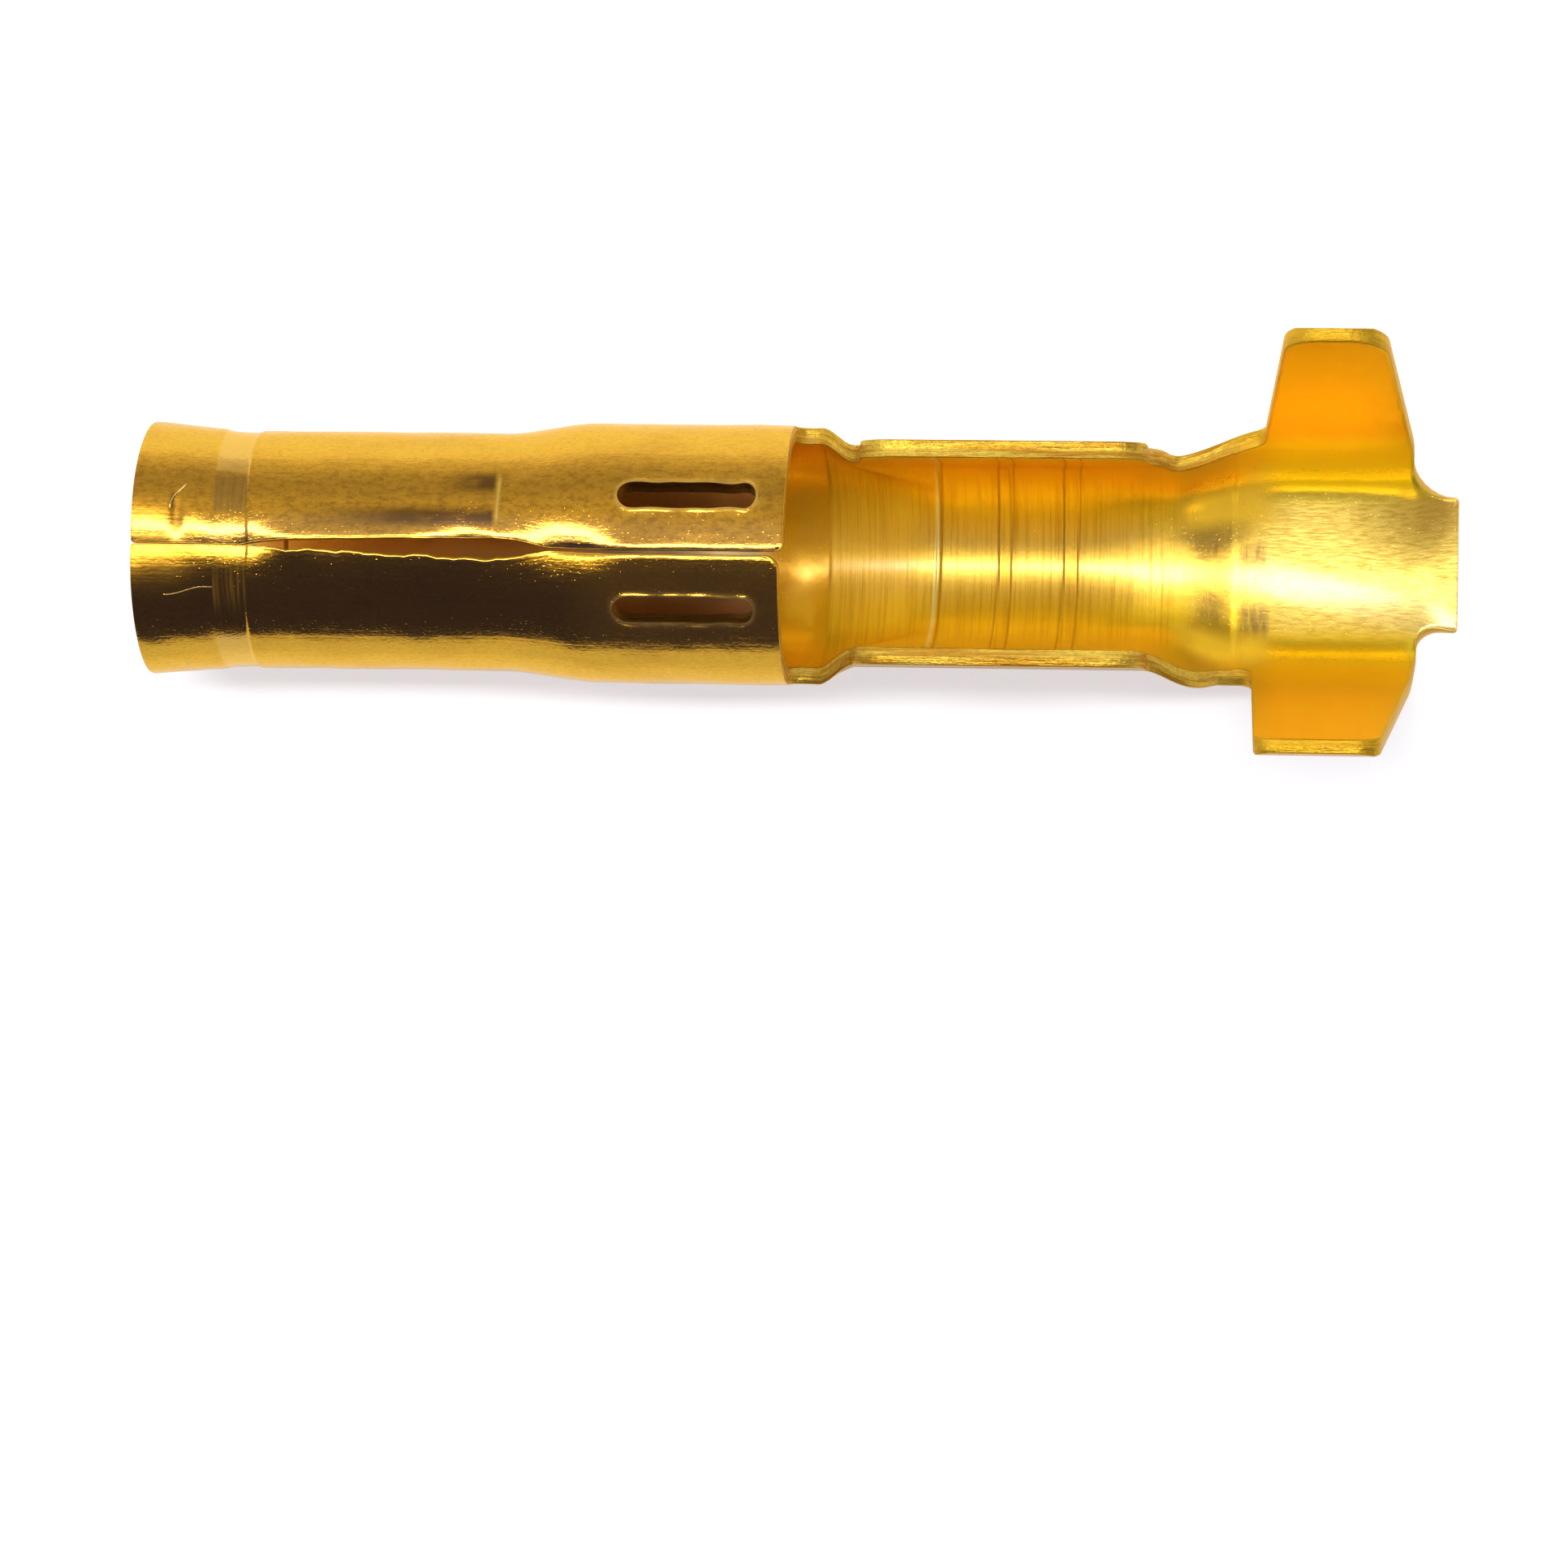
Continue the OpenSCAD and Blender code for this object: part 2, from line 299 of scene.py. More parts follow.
def floor_level(x, half, angle=math.pi / 2):
    """Level of the sheet's outer face at the bottom, from the socket's axis."""
    raised = mix(-socket_radius(x), WIRE_FLOOR, neck_share(x, angle))
    return mix(raised, -INS_R, widening_share(x, angle, half))


def wall_turn(x, half):
    """Turn of the sheet's arc each way, past which it runs straight up as a wing."""
    splay = np.radians(np.where(np.asarray(half) > 0, SPLAY[1], SPLAY[-1]))
    upright = math.pi / 2 - splay * widening_share(x, math.pi / 2, half)
    return np.where(np.asarray(x) < NECK_END, math.pi, upright)


def developed(x, z, half):
    """Place across the flat blank of what stands at level z once the sheet is formed."""
    radius, turn = float(outer_radius(x, half)), float(wall_turn(x, half))
    rise = (z - float(floor_level(x, half))) / radius
    arc_rise = 1 - math.cos(turn)
    if rise <= arc_rise:
        return BODY_R * math.acos(1 - rise)
    return BODY_R * turn + (rise - arc_rise) * radius / math.sin(turn)


def blank_corners(half):
    """Corners of one half of the blank from the tail to the mouth: station, place across, rounding."""
    tail = TAIL_HALF[half] * BODY_R / INS_R
    tip = developed(INS_END, INS_H, half)
    wing = developed(WIRE_END, WIRE_H, half)
    front = WIRE_FRONT[half]
    rear = SOCKET_LEN + REAR_SKEW[half]
    seam = math.pi * BODY_R
    return [
        (TOTAL, tail, CORNER_ROUND),
        (WING_REAR[half], tail, TAIL_ROUND[half]),
        (WING_REAR[half], developed(INS_END, WING_FOOT[half], half), WING_ROUND),
        (TIP_REAR[half], tip, TIP_REAR_ROUND[half]),
        (TIP_FRONT[half], tip, TIP_ROUND[half]),
        (INS_FRONT[half], developed(INS_FRONT[half], INS_FOOT[half], half), NOTCH_ROUND),
        (NOTCH_END[half], developed(NOTCH_END[half], NOTCH_LEVEL[half], half), NOTCH_ROUND),
        (WIRE_END, developed(WIRE_END, WIRE_FOOT, half), NOTCH_ROUND),
        (WIRE_END, wing, WING_ROUND),
        (front + WIRE_LEAN, wing, WING_ROUND),
        (front, developed(front, WIRE_FOOT, half), NECK_ROUND),
        (NECK_END, developed(NECK_END, -NECK_CUT, half), NECK_ROUND),
        (rear, developed(SOCKET_LEN, -NECK_CUT, half), NOTCH_ROUND),
        (rear, seam, SEAM_ROUND[half]),
        (0, seam, CORNER_ROUND),
    ]


def slot_corners(half):
    """Corners of a slot in the flat blank, rounded until its ends are half circles."""
    front, rear = SLOT_FRONT[half], SLOT_FRONT[half] + SLOT_LEN[half]
    middle = BODY_R * (math.pi - math.radians(SLOT_TURN[half]))
    side = SLOT_W[half] / 2
    end_round = SLOT_END_ROUND * side
    return [(x, middle + across, end_round) for x, across in
            ((front, -side), (rear, -side), (rear, side), (front, side))]


def rounded_outline(bm, corners):
    """A face with the given corners, each rounded to its own radius."""
    verts = [bm.verts.new((x, across, 0)) for x, across, _ in corners]
    bm.faces.new(verts)
    for vert, (_, _, rounding) in zip(verts, corners):
        tangent = rounding * math.tan(vert.calc_edge_angle() / 2)
        bmesh.ops.bevel(bm, geom=[vert], offset=tangent, affect="VERTICES", segments=CORNER_STEPS,
                        profile=0.5, material=-1)


def across_to_half(corners, half):
    return [(x, half * across, rounding) for x, across, rounding in corners]


def cut_blank():
    """The flat blank with its slots, as thick as the strip and with its edges rounded."""
    bm = bmesh.new()
    upper = across_to_half(blank_corners(1), 1)
    lower = across_to_half(blank_corners(-1), -1)
    rounded_outline(bm, upper + lower[::-1])
    for half in HALVES:
        rounded_outline(bm, across_to_half(slot_corners(half), half))
    bmesh.ops.delete(bm, geom=bm.faces[:], context="FACES_ONLY")
    bmesh.ops.triangle_fill(bm, use_beauty=True, edges=bm.edges[:])
    bmesh.ops.dissolve_limit(bm, angle_limit=LEVEL_EDGE, verts=bm.verts[:], edges=bm.edges[:])
    outside = bm.faces[:]
    raised = bmesh.ops.extrude_face_region(bm, geom=outside)["geom"]
    inside = [item for item in raised if isinstance(item, bmesh.types.BMFace)]
    bmesh.ops.translate(bm, vec=(0, 0, SHEET), verts=list({v for face in inside for v in face.verts}))
    bmesh.ops.recalc_face_normals(bm, faces=bm.faces[:])
    for skin in (outside, inside):
        bmesh.ops.inset_region(bm, faces=skin, thickness=EDGE_ROUND + EDGE_BAND, use_boundary=True,
                               use_even_offset=True)
    rims = [edge for edge in bm.edges if edge.calc_face_angle(0) > SHARP_EDGE]
    bmesh.ops.bevel(bm, geom=rims, offset=EDGE_ROUND, affect="EDGES", segments=EDGE_STEPS, profile=0.5,
                    material=-1)
    return bm


def score(bm, faces, axis, cuts):
    """Cuts the faces across an axis at every place in a sorted list, from the middle one outwards."""
    if not cuts or not faces:
        return
    middle = len(cuts) // 2
    point, normal = Vector(), Vector()
    point[axis], normal[axis] = cuts[middle], 1
    edges = {edge for face in faces for edge in face.edges}
    verts = {vert for face in faces for vert in face.verts}
    cut = bmesh.ops.bisect_plane(bm, geom=list(verts) + list(edges) + list(faces), dist=SAME_PLACE,
                                 plane_co=point, plane_no=normal)
    pieces = [item for item in cut["geom"] if isinstance(item, bmesh.types.BMFace)]
    before = [face for face in pieces if face.calc_center_median()[axis] < cuts[middle]]
    after = [face for face in pieces if face.calc_center_median()[axis] >= cuts[middle]]
    score(bm, before, axis, cuts[:middle])
    score(bm, after, axis, cuts[middle + 1:])


def spread(start, end, step):
    count = max(1, round((end - start) / step))
    return [start + (end - start) * i / count for i in range(1, count)]


def blended(x, stations, values):
    """Interpolates between stations, with the bends at them rounded off."""
    return np.mean([np.interp(x + step, stations, values) for step in BLEND_STEPS], axis=0)


def by_half(half, x, stations, values, between=np.interp):
    """What a half's own values give at a station, in straight lines unless told otherwise."""
    return np.where(half > 0, between(x, stations, values[1]), between(x, stations, values[-1]))


def lip_shift(x, angle, half):
    """How far the sheet beside the seam is drawn back from the top line."""
    gap = by_half(half, x, LIP_STATIONS, LIP_GAP)
    torn = sum(share * np.tanh(TEAR_STEEP * ripple(x, 0 * x, wavelength)) for wavelength, share in LIP_TEARS)
    ragged = np.where(half > 0, UPPER_RAGGED, 1) * LIP_RAGGED * within(x, WAIST_SPAN, LIP_BLUR) * torn
    near_seam = ease(ramp(angle, math.pi - LIP_TURN, LIP_TURN)) * (x < NECK_END)
    return near_seam * (gap + ragged)


def within(x, span, blur):
    """1 inside the span and 0 outside it, eased over the blur at both ends."""
    return ease(ramp(x, span[0], blur)) * (1 - ease(ramp(x, span[1] - blur, blur)))


def lip_roll(seam, depth, width):
    return -depth * np.clip(1 - seam / width, 0, 1) ** 2


def slot_distance(x, across, side):
    """How far a point of the blank is outside the slot of one half, and which side of its middle."""
    radius = SLOT_W[side] / 2
    straight = SLOT_LEN[side] / 2 - radius
    beyond = np.maximum(np.abs(x - SLOT_FRONT[side] - SLOT_LEN[side] / 2) - straight, 0)
    aside = np.abs(across) - BODY_R * (math.pi - math.radians(SLOT_TURN[side]))
    return np.hypot(beyond, aside) - radius, np.clip(aside / radius, -1, 1)


def on_tool_line(x, half, seam):
    return (half > 0) * bell(x, TOOL_LINE, TOOL_LINE_W) * within(seam, TOOL_LINE_SPAN, TOOL_LINE_BLUR)


def socket_relief(x, across, half, outer):
    """What stands proud of the true rolled shape: sprung and rolled lips, dents, burrs and tool marks."""
    seam = math.pi * BODY_R - np.abs(across)
    upper = half > 0
    in_waist = within(x, WAIST_SPAN, WAIST_BLUR)
    sprung = by_half(half, x, SPRING_STATIONS, SPRING) * np.clip(1 - seam / SPRING_W, 0, 1) ** 2
    rolled = np.where(upper, in_waist, 0) * lip_roll(seam, LIP_ROLL, LIP_ROLL_W)
    rolled += ease(ramp(x, WAIST_SPAN[1], WAIST_BLUR)) * lip_roll(seam, BODY_LIP_ROLL, BODY_LIP_ROLL_W)
    bowed = x + RING_BOW * np.sin(np.abs(across) / BODY_R)
    ring = -RING_DEPTH * ease(ramp(bowed, RING_START - RING_SOFT / 2, RING_SOFT))
    ring *= 1 - ease(ramp(bowed, RING_START + RING_LEN - RING_EDGE, RING_EDGE))
    dent = -DENT_DEPTH * upper * bell(x, DENT_AT, DENT_SIZE[0]) * bell(seam, DENT_ABOVE, DENT_SIZE[1])
    wobble = sum(height * ripple(x, across, wavelength) for wavelength, height in WOBBLES)
    tool_line = -TOOL_LINE_DEPTH * on_tool_line(x, half, seam)
    burr = 0
    for side in HALVES:
        away, _ = slot_distance(x, across, side)
        rim = (half == side) * bell(away, 0, SLOT_BURR_W)
        burr = burr + SLOT_BURR * rim * uneven(x, across, *BURR_UNEVEN)
    tube = 1 - ease(ramp(x, SOCKET_LEN, NECK_END - SOCKET_LEN))
    return tube * (sprung + rolled + ring + dent + wobble + outer * (tool_line + burr))


def barrel_relief(x, inner, angle):
    """Marks on the inner face of the barrels, inwards: the step, the grooves and the crease."""
    floor = 1 - ease(ramp(angle, GROOVE_TURN, GROOVE_FADE))
    step = STEP_RISE * ease(ramp(x, STEP_AT, STEP_W))
    step *= 1 - ease(ramp(x, STEP_AT + STEP_FADE[0], STEP_FADE[1]))
    grooves = GROOVE_DEPTH * sum(within(x, groove, GROOVE_EDGE) for groove in GROOVES)
    crease = CREASE_RISE * ease(ramp(x, CREASE_AT - CREASE_W / 2, CREASE_W))
    crease *= 1 - ease(ramp(x, CREASE_AT + CREASE_FADE[0], CREASE_FADE[1]))
    return inner * (step - floor * grooves + floor * crease)


def slot_wave(x, across, half):
    """Unevenness of the slots' outlines, across the blank."""
    moved = 0 * x
    for side in HALVES:
        away, out = slot_distance(x, across, side)
        near = (half == side) * bell(away, 0, SLOT_WAVE_REACH)
        moved += near * out * SLOT_WAVE * ripple(x, 0 * x, SLOT_WAVE_LEN)
    return moved


def wear(points):
    """How bright the outer face is rubbed along the slots' rims, the seam's lips and the tool line: partly
    wear, partly painted highlight.
    """
    x, across, depth = points.T
    half = np.where(across < 0, -1, 1)
    seam = math.pi * BODY_R - np.abs(across)
    worn = bell(seam, 0, LIP_WEAR_W) * (x < SOCKET_LEN) * uneven(x, across, *LIP_WEAR)
    worn = np.maximum(worn, on_tool_line(x, half, seam))
    for side in HALVES:
        away, _ = slot_distance(x, across, side)
        rim = (half == side) * bell(away, 0, SLOT_WEAR_W)
        worn = np.maximum(worn, rim * uneven(x, across, *SLOT_WEAR))
    return worn * (depth < SHEET / 4)


def near_tip(x, across, height):
    """From 0 to 1 over the last stretch of the tall wings, up to their tips."""
    tip = np.where(across > 0, developed(INS_END, INS_H, 1), developed(INS_END, INS_H, -1))
    return ramp(np.abs(across), tip - height, height) * (x > INS_START)


def coin(x, across, outer):
    """Thinning of the outer face along the tips of the tall wings."""
    return COIN_T * outer * near_tip(x, across, COIN_H)


def tip_slant(x, across, inner):
    """How far the cut along the tips of the tall wings leans inwards, so that it faces up."""
    lean = np.where(across > 0, TIP_SLANT[1], TIP_SLANT[-1])
    return lean * inner * near_tip(x, across, SLANT_H)


def form(points):
    """Bends points of the flat blank (station, place across, depth) to the formed sheet, in metres."""
    x, across, depth = points.T
    half = np.where(across < 0, -1, 1)
    angle = np.abs(across) / BODY_R
    inner = depth / SHEET
    outer = 1 - inner
    depth = depth + coin(x, across, outer)
    raised = socket_relief(x, across, half, outer) - barrel_relief(x, inner, angle)
    radius, floor = outer_radius(x, half, angle), floor_level(x, half, angle)
    angle = angle + (slot_wave(x, across, half) - tip_slant(x, across, inner)) / BODY_R
    angle = angle - lip_shift(x, angle, half) / radius
    turn = wall_turn(x, half)
    arc = np.minimum(angle, turn)
    wall = (angle - arc) * BODY_R
    flat = TAIL_FLAT * ease(ramp(x, INS_END, TOTAL - INS_END))
    radius, arc, turn = radius / (1 - flat), arc * (1 - flat), turn * (1 - flat)
    reach = radius - depth + raised
    y = reach * np.sin(arc) + wall * np.cos(turn)
    z = floor + radius - reach * np.cos(arc) + wall * np.sin(turn)
    on_floor = 1 - ease(ramp(arc, FLOOR_SOFT[0], FLOOR_SOFT[1]))
    z -= by_half(half, x, FLOOR_STATIONS, FLOOR_FLAT, blended) * on_floor * reach * (1 - np.cos(arc))
    z -= blended(x, FLOOR_STATIONS, FLOOR_ROLL) * on_floor * half * y
    dip = np.where(x < NECK_END, bell(x, NECK_END, NECK_DIP_W[0]), bell(x, NECK_END, NECK_DIP_W[1]))
    z -= NECK_DIP * dip * (1 - ease(ramp(arc, 0, NECK_SOFT[1])))
    return np.column_stack([low.x + x * MM, half * y * MM, AXIS_Z + z * MM])


def formed_terminal():
    """The blank, scored with a grid and bent to the finished terminal."""
    bm = cut_blank()
    reach = max(abs(vert.co.y) for vert in bm.verts)
    seam = math.pi * BODY_R
    marks = [TOOL_LINE, STEP_AT + STEP_W / 2, CREASE_AT]
    for groove_start, groove_end in GROOVES:
        marks += [groove_start + GROOVE_EDGE / 2, groove_end - GROOVE_EDGE / 2]
    along = spread(0, TOTAL, STEP_ALONG) + [mark + step for mark in marks for step in FINE_STEPS]
    along += spread(DENT_AT - FINE_MARGIN[0], RING_START + RING_LEN + FINE_MARGIN[1], STEP_FINE)
    around = spread(-reach, reach, STEP_AROUND)
    around += [side * (seam - step) for side in HALVES for step in SEAM_STEPS]
    score(bm, bm.faces[:], 0, sorted(along))
    score(bm, bm.faces[:], 1, sorted(around))
    mesh = bpy.data.meshes.new("brass_terminal")
    bm.to_mesh(mesh)
    bm.free()
    flat = np.empty(len(mesh.vertices) * 3)
    mesh.vertices.foreach_get("co", flat)
    blank = mesh.attributes.new("blank", "FLOAT_VECTOR", "POINT")
    blank.data.foreach_set("vector", flat)
    points = flat.reshape(-1, 3)
    mesh.attributes.new("wear", "FLOAT", "POINT").data.foreach_set("value", wear(points))
    mesh.vertices.foreach_set("co", form(points).ravel())
    mesh.shade_smooth()
    mesh.update()
    terminal = bpy.data.objects.new("brass_terminal", mesh)
    bpy.context.scene.collection.objects.link(terminal)
    terminal.modifiers.new("even_shading", "WEIGHTED_NORMAL")
    return terminal


terminal = formed_terminal()
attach(terminal, "root")
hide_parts(TERMINAL)


class Value:
    """A shader socket that takes part in Python expressions: each operator adds a Math node."""

    def __init__(self, nodes, socket):
        self.nodes = nodes
        self.socket = socket

    def __add__(self, other):
        return self.nodes.math("ADD", self, other)

    def __sub__(self, other):
        return self.nodes.math("SUBTRACT", self, other)

    def __rsub__(self, other):
        return self.nodes.math("SUBTRACT", other, self)

    def __mul__(self, other):
        return self.nodes.math("MULTIPLY", self, other)

    def __truediv__(self, other):
        return self.nodes.math("DIVIDE", self, other)

    __radd__ = __add__
    __rmul__ = __mul__


class Nodes:
    """The node tree of a material or of the world."""

    def __init__(self, owner):
        owner.use_nodes = True
        self.tree = owner.node_tree
        self.tree.nodes.clear()

    def node(self, kind, settings=None, inputs=None, output=0):
        """Adds a node: first its settings, then the values or links of its sockets."""
        made = self.tree.nodes.new(kind)
        for name, value in (settings or {}).items():
            if name == "stops":
                self.set_stops(made.color_ramp, value)
            else:
                setattr(made, name, value)
        for name, value in (inputs or {}).items():
            if isinstance(value, Value):
                self.tree.links.new(value.socket, made.inputs[name])
            else:
                made.inputs[name].default_value = value
        return Value(self, made.outputs[output]) if made.outputs else None

    def set_stops(self, color_ramp, stops):
        while len(color_ramp.elements) < len(stops):
            color_ramp.elements.new(1)
        for element, (place, shade) in zip(color_ramp.elements, stops):
            element.position = place
            element.color = (shade, shade, shade, 1)

    def math(self, operation, left, right):
        return self.node("ShaderNodeMath", {"operation": operation}, {0: left, 1: right})

    def smooth(self, value, start, end):
        """Eases from 0 at start to 1 at end."""
        return self.node("ShaderNodeMapRange", {"interpolation_type": "SMOOTHSTEP"},
                         {"Value": value, "From Min": start, "From Max": end})

    def between(self, value, start, end, blur):
        """1 between start and end and 0 outside, eased over the blur at both ends."""
        return self.smooth(value, start, start + blur) * (1 - self.smooth(value, end - blur, end))

    def line(self, offset, width):
        """1 along the line where an offset is 0, fading out within the width."""
        return 1 - self.smooth(self.math("ABSOLUTE", offset, 0), width / 5, width)

    def scaled(self, vector, factors):
        return self.node("ShaderNodeVectorMath", {"operation": "MULTIPLY"}, {0: vector, 1: factors})

    def noise(self, vector, factors, detail, roughness):
        return self.node("ShaderNodeTexNoise", None, {"Vector": self.scaled(vector, factors), "Scale": 1,
                                                      "Detail": detail, "Roughness": roughness})

    def mix_color(self, share, first, second):
        return self.node("ShaderNodeMix", {"data_type": "RGBA"}, {0: share, 6: first, 7: second}, output=2)


# Tints of the brass in linear light. A pair is mixed from its first tint to its second.
OUTER_TINT = ((0.95, 0.48, 0.04, 1), (0.91, 0.44, 0.03, 1))
SIDE_TINT = (0.93, 0.54, 0.055, 1)
CLOUD_TINT = (0.62, 0.29, 0.03, 1)
# Painted shade: a darker band on the upper half of the socket
UPPER_BAND_TINT = (0.45, 0.22, 0.02, 1)
GRAIN_TINT = (0.45, 0.21, 0.02, 1)
MOTTLE_TINT = (0.4, 0.18, 0.015, 1)
FILM_TINT = (0.2, 0.085, 0.015, 1)
# Painted reflection: the pale floor seen in the ring's sides
RING_PALE_TINT = (0.98, 0.64, 0.18, 1)
# Painted shade on the top of the ring, darker on the upper half than on the lower
UPPER_RING_TINT = ((0.2, 0.1, 0.03, 1), (0.75, 0.4, 0.07, 1))
LOWER_RING_TINT = ((0.6, 0.3, 0.02, 1), (0.95, 0.5, 0.04, 1))
# Rims rubbed bright: partly wear of the metal, partly a painted highlight of their rounded edges
WORN_TINT = (1, 0.62, 0.12, 1)
SCRATCH_TINT = (1, 0.72, 0.25, 1)
TROUGH_TINT = ((1, 0.63, 0.06, 1), (0.65, 0.34, 0.015, 1))
SLOPE_TINT = ((1, 0.64, 0.015, 1), (0.82, 0.47, 0.008, 1))
START_TINT = ((1, 0.58, 0.015, 1), (0.78, 0.4, 0.008, 1))
WALL_TINT = (1, 0.66, 0.02, 1)
# The lower wing's tint, then a darker copy for painted shade on the upper wing's top
WING_TINT = ((1, 0.64, 0.025, 1), (0.86, 0.53, 0.02, 1))
NECK_TINT = (1, 0.53, 0.008, 1)
FLECK_TINT = ((0.97, 0.7, 0.12, 1), (0.7, 0.45, 0.055, 1))
# Painted shade on the tail's far upper corner
FAR_CORNER_TINT = (0.6, 0.33, 0.04, 1)
# Lower and upper corner between floor and wing: the upper one painted paler, as a highlight on the bend
CORNER_TINT = ((1, 0.68, 0.015, 1), (1, 0.77, 0.018, 1))
FLANK_TINT = (1, 0.65, 0.035, 1)
# Painted shade across the widening, which dims the trough's highlight there
CROSSING_TINT = (0.6, 0.35, 0.06, 1)
# Painted dark reflections on the slopes beside the crease
STAIN_TINT = (0.27, 0.15, 0.035, 1)
LIT_LINE_TINT = (1, 0.85, 0.25, 1)
SHADED_LINE_TINT = (0.55, 0.26, 0.01, 1)
BORE_TINT = ((0.95, 0.58, 0.13, 1), (0.78, 0.56, 0.25, 1))
EDGE_TINT = ((1, 0.67, 0.07, 1), (0.72, 0.34, 0.015, 1))
GRIT_TINT = (0.5, 0.27, 0.02, 1)
WING_EDGE_TINT = (0.92, 0.51, 0.015, 1)
# Painted shade on the slots' cut walls
SLOT_WALL_TINT = (0.16, 0.08, 0.02, 1)
GLOSS_TINT = (1, 0.9, 0.62, 1)

# How much of a tint shows where it lies
CLOUD_SHARE = 0.35
UPPER_BAND_SHARE = 0.3
GRAIN_SHARE = 0.17
MOTTLE_SHARE = 0.12
UPPER_MOTTLE_SHARE = 0.45
FILM_SHARE = 0.95
RING_PALE_SHARE = 0.4
RING_DARK_SHARE = 0.7
WORN_SHARE = 0.85
START_SHARE = 0.75
FAR_CORNER_SHARE = 0.7
CROSSING_SHARE = 0.4
STAIN_SHARE = 0.85
LIT_LINE_SHARE = 0.9
SHADED_LINE_SHARE = 0.6
GRIT_SHARE = 0.35
WING_EDGE_SHARE = 0.85
SLOT_WALL_SHARE = 0.92
SMEAR_SHARE = 0.5
FLECK_LINE_SHARE = 0.8

# Noises of the finish: waves to a millimetre along, across and through the sheet, detail, roughness
GRAINS = {
    "die_lines": ((0.3, 8, 3), 4, 0.6),
    "brushing": ((13, 0.2, 3), 5, 0.75),
    "mottle": ((5, 7, 3), 4, 0.7),
    "fine": ((10, 16, 3), 2, 0.5),
    "hoop_lines": ((14, 0.4, 3), 3, 0.6),
    "flecks": ((3.2, 14, 3), 3, 0.6),
    "streaks": ((0.7, 0.7, 13), 3, 0.6),
    "grit": ((9, 9, 13), 3, 0.7),
    "specks": ((18, 18, 3), 1, 0.5),
    "peel": ((2.6, 2.6, 3), 3, 0.5),
    "clouds": ((0.55, 0.9, 3), 3, 0.6),
    "smears": ((9, 1.2, 3), 3, 0.7),
}

# Between which values of its noise each kind of mark comes up
CLOUD_RANGE = (0.45, 0.75)
FILM_RANGE = (0.2, 0.5)
GRAIN_RANGE = (0.42, 0.62)
MOTTLE_RANGE = (0.42, 0.66)
PIT_RANGE = (0.64, 0.8)
HOOP_RANGE = (0.35, 0.7)
BRUSH_RANGE = (0.42, 0.7)
BRUSH_DULL_RANGE = (0.45, 0.65)
FLECK_RANGE = (0.4, 0.65)
SMEAR_RANGE = (0.35, 0.65)
STREAK_RANGE = (0.4, 0.62)
GRIT_RANGE = (0.45, 0.6)

# Where the outer finish lies, at stations or across the blank: start, end and, for a band, its blur
INNER_SKIN_FROM = (0.4 * SHEET, 0.6 * SHEET)
CUT_EDGE_AT = (0.003, SHEET - 0.003, 0.017)
RING_PALE_AT = (-5.95, 6.4, 0.12)
RING_DARK_ABOVE = (6.35, 7.45, 0.2)
RING_DARK_BELOW = (-7.7, -5.9, 0.25)
RING_HAZE_AT = (-7.9, -6.3, 0.8)
SIDES_TO = (5.4, 6.4)
UPPER_BAND_AT = (6.1, 7.2, 0.4)
MOTTLE_FROM = (5.8, 6.5)
HAZE_FROM = (8.2, 9.6)
HAZE_TO = (-6.2, -5)
MOUTH_TO = (0.7, 1.65)
MOUTH_TOP_FROM = (6.6, 7.4)
LIP_SHEEN_FROM = (7.3, 7.7)
SLOT_WALLS_AT = (9.2, 12.5, 0.2)
BORE_DIM_FROM = (7.6, 8.8)
WING_EDGE_FROM = (21, 22)
UPPER_HALF_FROM = (-1, 1)
# Darker patches in front of the tool line: stations, where each deepens, and place across
FILMS = (
    ((2.9, 7.16, 0.1), (2.9, 5.8), (7.15, 7.9, 0.3)),
    ((5.9, 7.16, 0.1), (5.9, 6.9), (6.2, 6.95, 0.3)),
)

# Where the finish of the barrels lies
BARRELS_FROM = (SOCKET_LEN - 1.2, SOCKET_LEN - 0.4)
NECK_TO = (STEP_AT - 0.03, STEP_AT + 0.05)
TAIL_FROM = (INS_START, INS_START + 1.2)
WALLS_FROM = (2.2, 3.2)
SLOPES_FROM = (0.7, 1.7)
LOWER_SIDE_TO = (-1, -0.3)
START_TO = (14.6, 15.6)
START_FLOOR_TO = (1.5, 2.2)
WIDENING_AT = (19.9, 22.1, 0.8)
CROSSING_AT = (20.2, 21.6, 0.5)
FLANKS_AT = (19.9, 22.6, 0.9)
FLANK_ABOVE = (0.6, 2.4, 0.7)
FLANK_BELOW = (-3, -1.5, 0.6)
CORNERS_FROM = (21.4, 22.4)
CORNERS_AT = (1.2, 4.2, 0.9)
UPPER_WING_FROM = (3, 4.6)
FAR_CORNER_FROM = (24.1, 25.4)
FAR_CORNER_ABOVE = (0.1, 1.1)
TAIL_BAND_AT = (-1.3, -0.05, 0.45)
TAIL_BAND_LEAN = 0.28
TAIL_BAND_MIDDLE = 23.4
TROUGH_SHEEN_TO = (0.4, 1.2)
REAR_SHEEN_FROM = (17, 19.5)
# Painted dark reflections on both sides of the crease: strength, stations and place across
STAINS = (
    (1, (21.43, 22.15, 0.15), (-1.85, -0.7, 0.4)),
    (1, (21.43, 22.1, 0.15), (-0.15, 0.65, 0.3)),
    (0.8, (20.4, 21.38, 0.4), (-0.1, 0.75, 0.35)),
    (0.8, (20.5, 21.38, 0.4), (-1.7, -0.6, 0.4)),
)

# Lines along the edges of the grooves, which skew across the blank and lean back up the walls
GROOVE_SKEW = 0.02
GROOVE_LEAN = 0.06
GROOVE_LEAN_FROM = (3, 5)
LIT_LINE_AT = (GROOVES[0][0] - 0.03, GROOVES[0][0] + 0.08, 0.03)
SHADED_LINE_AT = (GROOVES[0][1] - 0.05, GROOVES[0][1] + 0.02, 0.025)
GROOVE_LINE_W = 0.035
GROOVE_BLUR = 0.03

